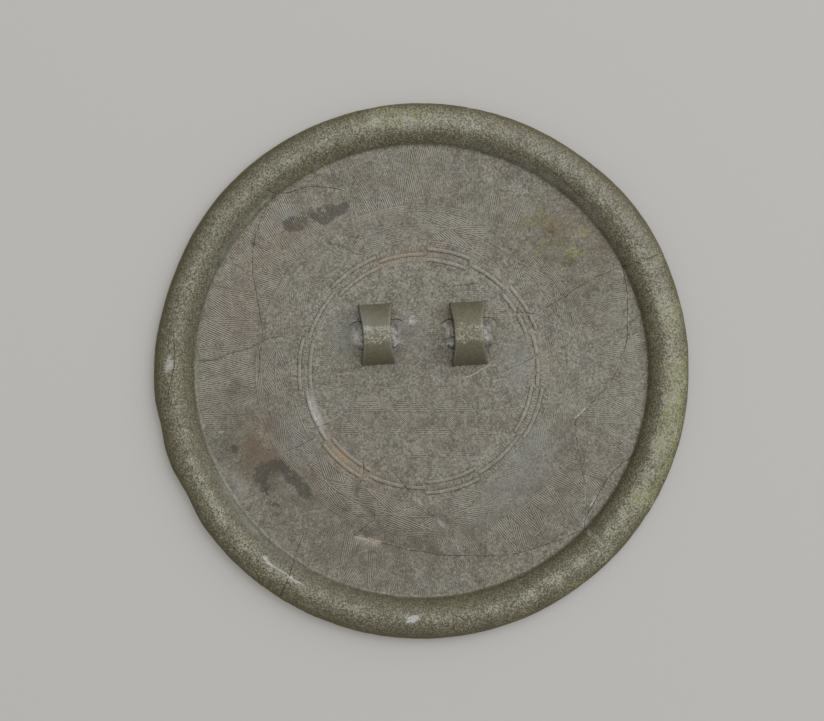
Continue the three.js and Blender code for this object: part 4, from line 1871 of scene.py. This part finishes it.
class MaterialDesk(NodeDesk):
    """Desk of one new material, with the shared effects at hand."""

    def __init__(self, name: str, effects: Effects) -> None:
        """Makes an empty material of a name and keeps the effects."""
        self.material = bpy.data.materials.new(name)
        self.material.use_nodes = True
        super().__init__(self.material.node_tree)
        self.tree.nodes.clear()
        self.effects = effects
        self.place = self.add("ShaderNodeTexCoord").outputs["Object"]

    def cloud(self, size: float, contrast: float, seed: float) -> Socket:
        """Cloudy areas of a size in millimetres."""
        inputs = {"Place": self.place, "Size": size * MM, "Contrast": contrast, "Seed": seed}
        return self.effects.blotches.placed(self, inputs).outputs["Cloud"]

    def spots(self, size: float, amount: object, softness: float, seed: float,
              detail: float = 3.0) -> Socket:
        """Mask of spots of a size in millimetres, denser where the amount is larger."""
        inputs = {"Place": self.place, "Size": size * MM, "Amount": amount, "Softness": softness,
                  "Detail": detail, "Seed": seed}
        return self.effects.speckle.placed(self, inputs).outputs["Spots"]

    def grain(self, fine: object, coarse: float) -> Socket:
        """Height of the cast grain, from the heights of its pits and of its lumps."""
        inputs = {"Place": self.place, "Fine": fine, "Coarse": coarse}
        return self.effects.grain.placed(self, inputs).outputs["Height"]

    def covered(self, colour: object, layer: object, share: object, strength: float) -> Socket:
        """Colour under a layer that hides it by a share times a strength."""
        return self.mixed(self.times(share, strength), colour, layer)

    def finished(self, colour: Socket, roughness: Socket, metallic: float, height: Socket,
                 strength: float = 1.0) -> bpy.types.Material:
        """Adds bump, Principled BSDF and output, and gives the material.

        Args:
            colour: Colour of the surface.
            roughness: Roughness of the surface.
            metallic: Share of bare metal.
            height: Height for the bump.
            strength: Strength of the bump.

        Returns:
            The material.
        """
        bump = self.add("ShaderNodeBump", {"Height": height, "Strength": strength, "Distance": 1.0})
        shader = self.add("ShaderNodeBsdfPrincipled", {
            "Base Color": colour, "Roughness": roughness, "Metallic": metallic,
            "Normal": bump.outputs["Normal"]})
        self.add("ShaderNodeOutputMaterial", {"Surface": shader.outputs["BSDF"]})
        return self.material


@dataclass(frozen=True)
class CloudLayer:
    """Cloudy layer of a colour: size in millimetres, contrast, seed, colour and strength."""

    size: float
    contrast: float
    seed: float
    colour: Colour
    strength: float


@dataclass(frozen=True)
class PatinatedBack:
    """Finish of the back: grey-brown bronze with olive, ruddy and green corrosion."""

    name: str = "patinated_back"
    body: Colour = tint(119, 116, 107)
    body_dark: Colour = tint(80, 77, 69)
    body_light: Colour = tint(170, 168, 155)
    # Crests of raised lines: wear and painted highlight.
    line_wear_and_highlight: Colour = tint(172, 169, 157)
    body_olive: Colour = tint(107, 105, 79)
    body_blue: Colour = tint(113, 116, 118)
    body_purple: Colour = tint(106, 95, 90)
    # Painted shade, in brown.
    brown: Colour = tint(92, 87, 78)
    rim: Colour = tint(90, 88, 68)
    rim_dark: Colour = tint(56, 54, 39)
    # Worn crests of rim and straps, partly painted highlight.
    rim_worn_and_highlight: Colour = tint(129, 128, 117)
    # Light grains, and painted glints.
    grain_and_glint_light: Colour = tint(184, 185, 164)
    # Olive tone, also used as painted shade at the rim's foot and outer edge.
    olive: Colour = tint(76, 72, 42)
    olive_dark: Colour = tint(54, 50, 28)
    strap: Colour = tint(99, 96, 78)
    ruddy: Colour = tint(117, 99, 85)
    dark: Colour = tint(70, 71, 67)
    earth: Colour = tint(166, 148, 122)
    pale: Colour = tint(204, 202, 198)
    haze: Colour = tint(134, 139, 140)
    green: Colour = tint(158, 170, 114)
    yellow_green: Colour = tint(134, 139, 76)
    # Near-black painted shade: in cracks and pits, beside the straps and at the foot of raised lines.
    gap: Colour = tint(34, 31, 25)
    metallic: float = 0.22
    roughness: float = 0.56
    spot_roughness: float = 0.16
    grain_height: float = 0.07 * MM
    spot_height: float = 0.03 * MM

    def build(self, effects: Effects) -> bpy.types.Material:
        """Makes the material.

        Args:
            effects: Shared shader groups.

        Returns:
            The material.
        """
        desk = MaterialDesk(self.name, effects)
        rim = desk.attribute(Stain.RIM.value)
        colour = desk.mixed(rim, self._body(desk), self._rim(desk))
        colour = self._speckled(desk, self._stained(desk, colour))
        colour, spots = self._crusted(desk, colour)
        # Painted shade at the foot of raised lines, in cracks and pits and along the straps' sides.
        gap = desk.attribute(Stain.GAP_SHADE.value)
        painted_shade_share = desk.calculate("ADD", desk.attribute("foot"), gap, clamped=True)
        colour = desk.covered(colour, self.gap, painted_shade_share, 0.9)
        roughness = desk.sloped(spots, self.spot_roughness, self.roughness)
        grain = desk.grain(desk.sloped(rim, self.grain_height, self.grain_height), self.grain_height)
        height = desk.sloped(spots, self.spot_height, grain)
        return desk.finished(colour, roughness, self.metallic, height)

    def _body(self, desk: MaterialDesk) -> Socket:
        """Grey-brown body with cloudy olive, blue-grey, light and dark areas, lighter on raised lines from
        wear and as painted highlight.
        """
        clouds = (
            CloudLayer(26.0, 2.6, 1.0, self.body_dark, 0.12),
            CloudLayer(7.5, 6.0, 7.0, self.body_olive, 0.66),
            CloudLayer(5.0, 6.0, 13.0, self.body_blue, 0.5),
            CloudLayer(8.5, 5.0, 18.0, self.body_purple, 0.48),
            CloudLayer(4.0, 6.5, 15.0, self.body_dark, 0.44),
            CloudLayer(3.0, 6.5, 16.0, self.body_light, 0.42),
            CloudLayer(0.65, 8.0, 2.0, self.body_light, 0.46),
            CloudLayer(0.65, 8.0, 17.0, self.body_dark, 0.62),
        )
        colour: object = self.body
        for each in clouds:
            cloud = desk.cloud(each.size, each.contrast, each.seed)
            colour = desk.covered(colour, each.colour, cloud, each.strength)
        # Crests of raised lines lighter, from wear and as painted highlight.
        crest = desk.times(desk.attribute("crest"), 0.85, clamped=True)
        return desk.mixed(crest, colour, self.line_wear_and_highlight)

    def _rim(self, desk: MaterialDesk) -> Socket:
        """Dark olive-grey ground of the rim and the straps, lighter where their crests are worn and with a
        painted highlight there.
        """
        strap = desk.attribute(Stain.STRAP.value)
        worn = desk.attribute(Stain.WORN_AND_HIGHLIGHT.value)
        ground = desk.covered(self.rim, self.rim_dark, desk.cloud(3.0, 3.0, 8.0), 0.35)
        ground = desk.covered(desk.mixed(strap, ground, self.strap), self.rim_worn_and_highlight, worn, 0.65)
        rough = desk.sloped(desk.calculate("SUBTRACT", strap, worn, clamped=True), -0.6, 1.0)
        # Light grains and painted glints, and dark specks.
        grit_and_glint = desk.sloped(desk.attribute(Stain.GRIT_AND_GLINT.value), 0.5, 0.22)
        light = desk.times(desk.times(desk.cloud(0.38, 9.0, 31.0), grit_and_glint), rough)
        dark = desk.times(desk.times(desk.cloud(0.42, 9.0, 32.0), 0.68), rough)
        return desk.mixed(dark, desk.mixed(light, ground, self.grain_and_glint_light), self.rim_dark)

    def _stained(self, desk: MaterialDesk, colour: Socket) -> Socket:
        """Adds the brown painted shade and the olive, ruddy, dark, earthy, hazy and pale stains over a
        colour; the olive is partly painted shade and the pale partly painted light.
        """
        cloud = desk.cloud(3.4, 3.0, 3.0)
        uneven = desk.sloped(cloud, 0.5, 0.6)
        grainy = desk.sloped(desk.cloud(0.6, 6.0, 34.0), 0.75, 0.4)
        olive = desk.mixed(cloud, self.olive_dark, self.olive)
        # The brown layer is painted shade.
        layers = ((Stain.BROWN, self.brown, 0.75), (Stain.OLIVE, olive, 1.0),
                  (Stain.RUDDY, self.ruddy, 0.65), (Stain.EARTH, self.earth, 0.75),
                  (Stain.HAZE, self.haze, 0.75), (Stain.PALE, self.pale, 0.9))
        for stain, layer, strength in layers:
            share = desk.times(desk.attribute(stain.value), strength)
            share = desk.times(share, grainy if stain is Stain.PALE else uneven, clamped=True)
            colour = desk.mixed(share, colour, layer)
        blots = desk.spots(2.4, desk.attribute(Stain.DARK.value), 0.13, 9.0, detail=5.0)
        return desk.covered(colour, self.dark, blots, 0.68)

    def _speckled(self, desk: MaterialDesk, colour: Socket) -> Socket:
        """Adds fine dark pits and light grains over a colour, dense where the surface is gritty; the light
        grains along the crests are painted glints.
        """
        grit_and_glint = desk.attribute(Stain.GRIT_AND_GLINT.value)
        smooth = desk.times(desk.attribute(Stain.RIM.value), -0.2)
        clustered = desk.calculate("ADD", desk.sloped(desk.cloud(5.0, 5.0, 14.0), 0.3, 0.18), smooth)
        light = desk.spots(0.55, desk.sloped(grit_and_glint, 0.5, clustered), 0.16, 21.0)
        pitted = desk.sloped(grit_and_glint, 0.3, desk.calculate("ADD", smooth, 0.42))
        dark = desk.spots(0.6, pitted, 0.16, 22.0)
        colour = desk.covered(colour, self.rim_dark, dark, 0.7)
        return desk.covered(colour, self.grain_and_glint_light, light, 0.7)

    def _crusted(self, desk: MaterialDesk, colour: Socket) -> tuple[Socket, Socket]:
        """Adds green and yellow-green speckle over a colour, and gives the mask of the green spots."""
        amount = desk.attribute(Stain.CRUST.value)
        coarse = desk.spots(1.1, amount, 0.12, 4.0, detail=5.0)
        fine = desk.spots(0.6, amount, 0.12, 6.0, detail=4.0)
        strong = desk.sloped(desk.attribute(Stain.RIM.value), 0.4, 0.15)
        colour = desk.mixed(desk.times(coarse, strong), colour, self.yellow_green)
        return desk.covered(colour, self.green, fine, 0.55), fine


@dataclass(frozen=True)
class PolishedFace:
    """Finish of the polished face: darker, smoother bronze under a thin even patina."""

    name: str = "polished_face"
    body: Colour = tint(96, 92, 78)
    clean: Colour = tint(120, 108, 84)
    green: Colour = tint(118, 132, 104)
    metallic: float = 0.5

    def build(self, effects: Effects) -> bpy.types.Material:
        """Makes the material.

        Args:
            effects: Shared shader groups.

        Returns:
            The material.
        """
        desk = MaterialDesk(self.name, effects)
        cloud = desk.cloud(18, 3.0, 11.0)
        spots = desk.spots(3.0, cloud, 0.2, 12.0)
        colour = desk.covered(desk.mixed(cloud, self.clean, self.body), self.green, spots, 0.7)
        grain = desk.grain(0.012 * MM, 0.015 * MM)
        return desk.finished(colour, desk.sloped(spots, 0.3, 0.36), self.metallic, grain, 0.6)


@dataclass(frozen=True)
class PaleFloor:
    """Finish of the studio floor: matt and pale."""

    name: str = "pale_floor"
    colour: Colour = tint(214, 212, 207)
    roughness: float = 0.9

    def build(self) -> bpy.types.Material:
        """Makes the material."""
        material = bpy.data.materials.new(self.name)
        material.use_nodes = True
        shader = material.node_tree.nodes["Principled BSDF"]
        shader.inputs["Base Color"].default_value = self.colour
        shader.inputs["Roughness"].default_value = self.roughness
        return material


@dataclass(frozen=True)
class Studio:
    """Floor, soft light and camera."""

    floor_size: float = 3.0
    floor_level: float = -0.2 * MM
    camera_height: float = 1.2
    frame_width: float = 230.1 * MM
    subject_height: float = 3.5 * MM
    aim_x: float = -2.6 * MM
    aim_y: float = 2.9 * MM
    sensor: float = 36.0
    key_direction: float = 45.0
    key_elevation: float = 44.0
    key_distance: float = 1.5
    key_size: float = 1.5
    key_power: float = 16.5
    sky: Colour = (1.0, 0.985, 0.93, 1.0)
    sky_strength: float = 0.64

    def build(self) -> None:
        """Sets up floor, light and camera."""
        self._floor()
        self._light()
        self._camera()

    def _floor(self) -> None:
        """Lays the pale floor under the mirror."""
        half = self.floor_size / 2
        corners = np.array([(-half, -half, self.floor_level), (half, -half, self.floor_level),
                            (half, half, self.floor_level), (-half, half, self.floor_level)])
        floor = new_object("studio_floor", corners, [(0, 1, 2, 3)])
        floor.data.materials.append(PaleFloor().build())

    def _light(self) -> None:
        """Hangs one large soft lamp and fills the rest with an even sky."""
        world = bpy.data.worlds.new("studio_sky")
        world.use_nodes = True
        background = world.node_tree.nodes["Background"]
        background.inputs["Color"].default_value = self.sky
        background.inputs["Strength"].default_value = self.sky_strength
        bpy.context.scene.world = world
        data = bpy.data.lights.new("soft_key", "AREA")
        data.energy = self.key_power
        data.size = self.key_size
        lamp = bpy.data.objects.new("soft_key", data)
        direction = math.radians(self.key_direction)
        elevation = math.radians(self.key_elevation)
        towards = Vector((math.cos(direction) * math.cos(elevation),
                          math.sin(direction) * math.cos(elevation), math.sin(elevation)))
        lamp.location = towards * self.key_distance
        lamp.rotation_euler = towards.to_track_quat("Z", "Y").to_euler()
        lamp.visible_camera = False
        bpy.context.scene.collection.objects.link(lamp)

    def _camera(self) -> None:
        """Sets the camera straight above, framed as the photograph is."""
        data = bpy.data.cameras.new("camera")
        data.sensor_width = self.sensor
        data.lens = self.sensor * (self.camera_height - self.subject_height) / self.frame_width
        camera = bpy.data.objects.new("camera", data)
        camera.location = (self.aim_x, self.aim_y, self.camera_height)
        bpy.context.scene.collection.objects.link(camera)
        bpy.context.scene.camera = camera


def finish_piece(piece: Piece, patina: PatinaMap) -> None:
    """Stores the patina on a piece of the back and lets it ride on the mirror.

    Args:
        piece: Finished mesh object.
        patina: Patina of the mirror.
    """
    patina.dress(piece)
    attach(piece, BODY)
    log.info("%s: %d triangles", piece.name, triangle_count(piece))


def face_material_faces(piece: Piece, index: int) -> None:
    """Gives the flat faces that look down the material with a slot number."""
    for face in piece.data.polygons:
        if face.normal.z < DOWNWARDS and face.center.z < FACE_LEVEL:
            face.material_index = index


def main() -> None:
    """Builds the mirror and its studio, piece by piece."""
    logging.basicConfig(level=logging.INFO, format="%(name)s: %(message)s")
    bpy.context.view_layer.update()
    effects = Effects()
    back_finish = PatinatedBack().build(effects)
    face_finish = PolishedFace().build(effects)
    pattern = Pattern()
    casting = Casting()
    patina = PatinaMap(casting)

    body = casting.build()
    body.data.materials.clear()
    body.data.materials.append(back_finish)
    body.data.materials.append(face_finish)
    face_material_faces(body, 1)
    for name in ("crest", "foot"):
        set_point_values(body.data, name, np.zeros(len(body.data.vertices)))
    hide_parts(CASTING_NODE)
    finish_piece(body, patina)

    wear = Wear()
    tree = RidgeTree()
    bold = Ridge(0.46 * MM, 0.22 * MM, 0.19 * MM, wander=0.08 * MM)
    fine = Ridge(0.38 * MM, 0.2 * MM, 0.16 * MM)
    bar = Ridge(1.6 * MM, 0.85 * MM, 0.26 * MM, wander=0.05 * MM)
    # The crests of each family are painted lighter, from wear and as highlight, and their feet darker, as
    # shade.
    families = (
        RaisedLines("ring_bars", pattern.bars(), bar, 0.9, 3, crest_wear_and_highlight=0.34, outline=0.9, end_share=0.95),
        RaisedLines("ring_hatch", pattern.ring_hatch(), fine, 0.65, every=1),
        RaisedLines("pattern_circles", pattern.circles(), bold, 0.3, crest_wear_and_highlight=0.8),
        RaisedLines("border_circles", pattern.border_circles(), fine, 0.2),
        RaisedLines("pattern_zigzags", pattern.zigzags(), bold, 0.1, crest_wear_and_highlight=0.8),
        RaisedLines("lozenge_hatch", pattern.lozenge_hatch(), fine, 0.1),
        RaisedLines("ray_hatch", pattern.ray_hatch(), fine, 0.1),
        RaisedLines("field_hatch", pattern.field_hatch(), fine, 0.0, crest_wear_and_highlight=0.7, outline=0.2),
    )
    for seed, family in enumerate(families):
        finish_piece(family.build(casting, wear, tree, seed, back_finish), patina)

    Studio().build()


if __name__ == "__main__":
    main()
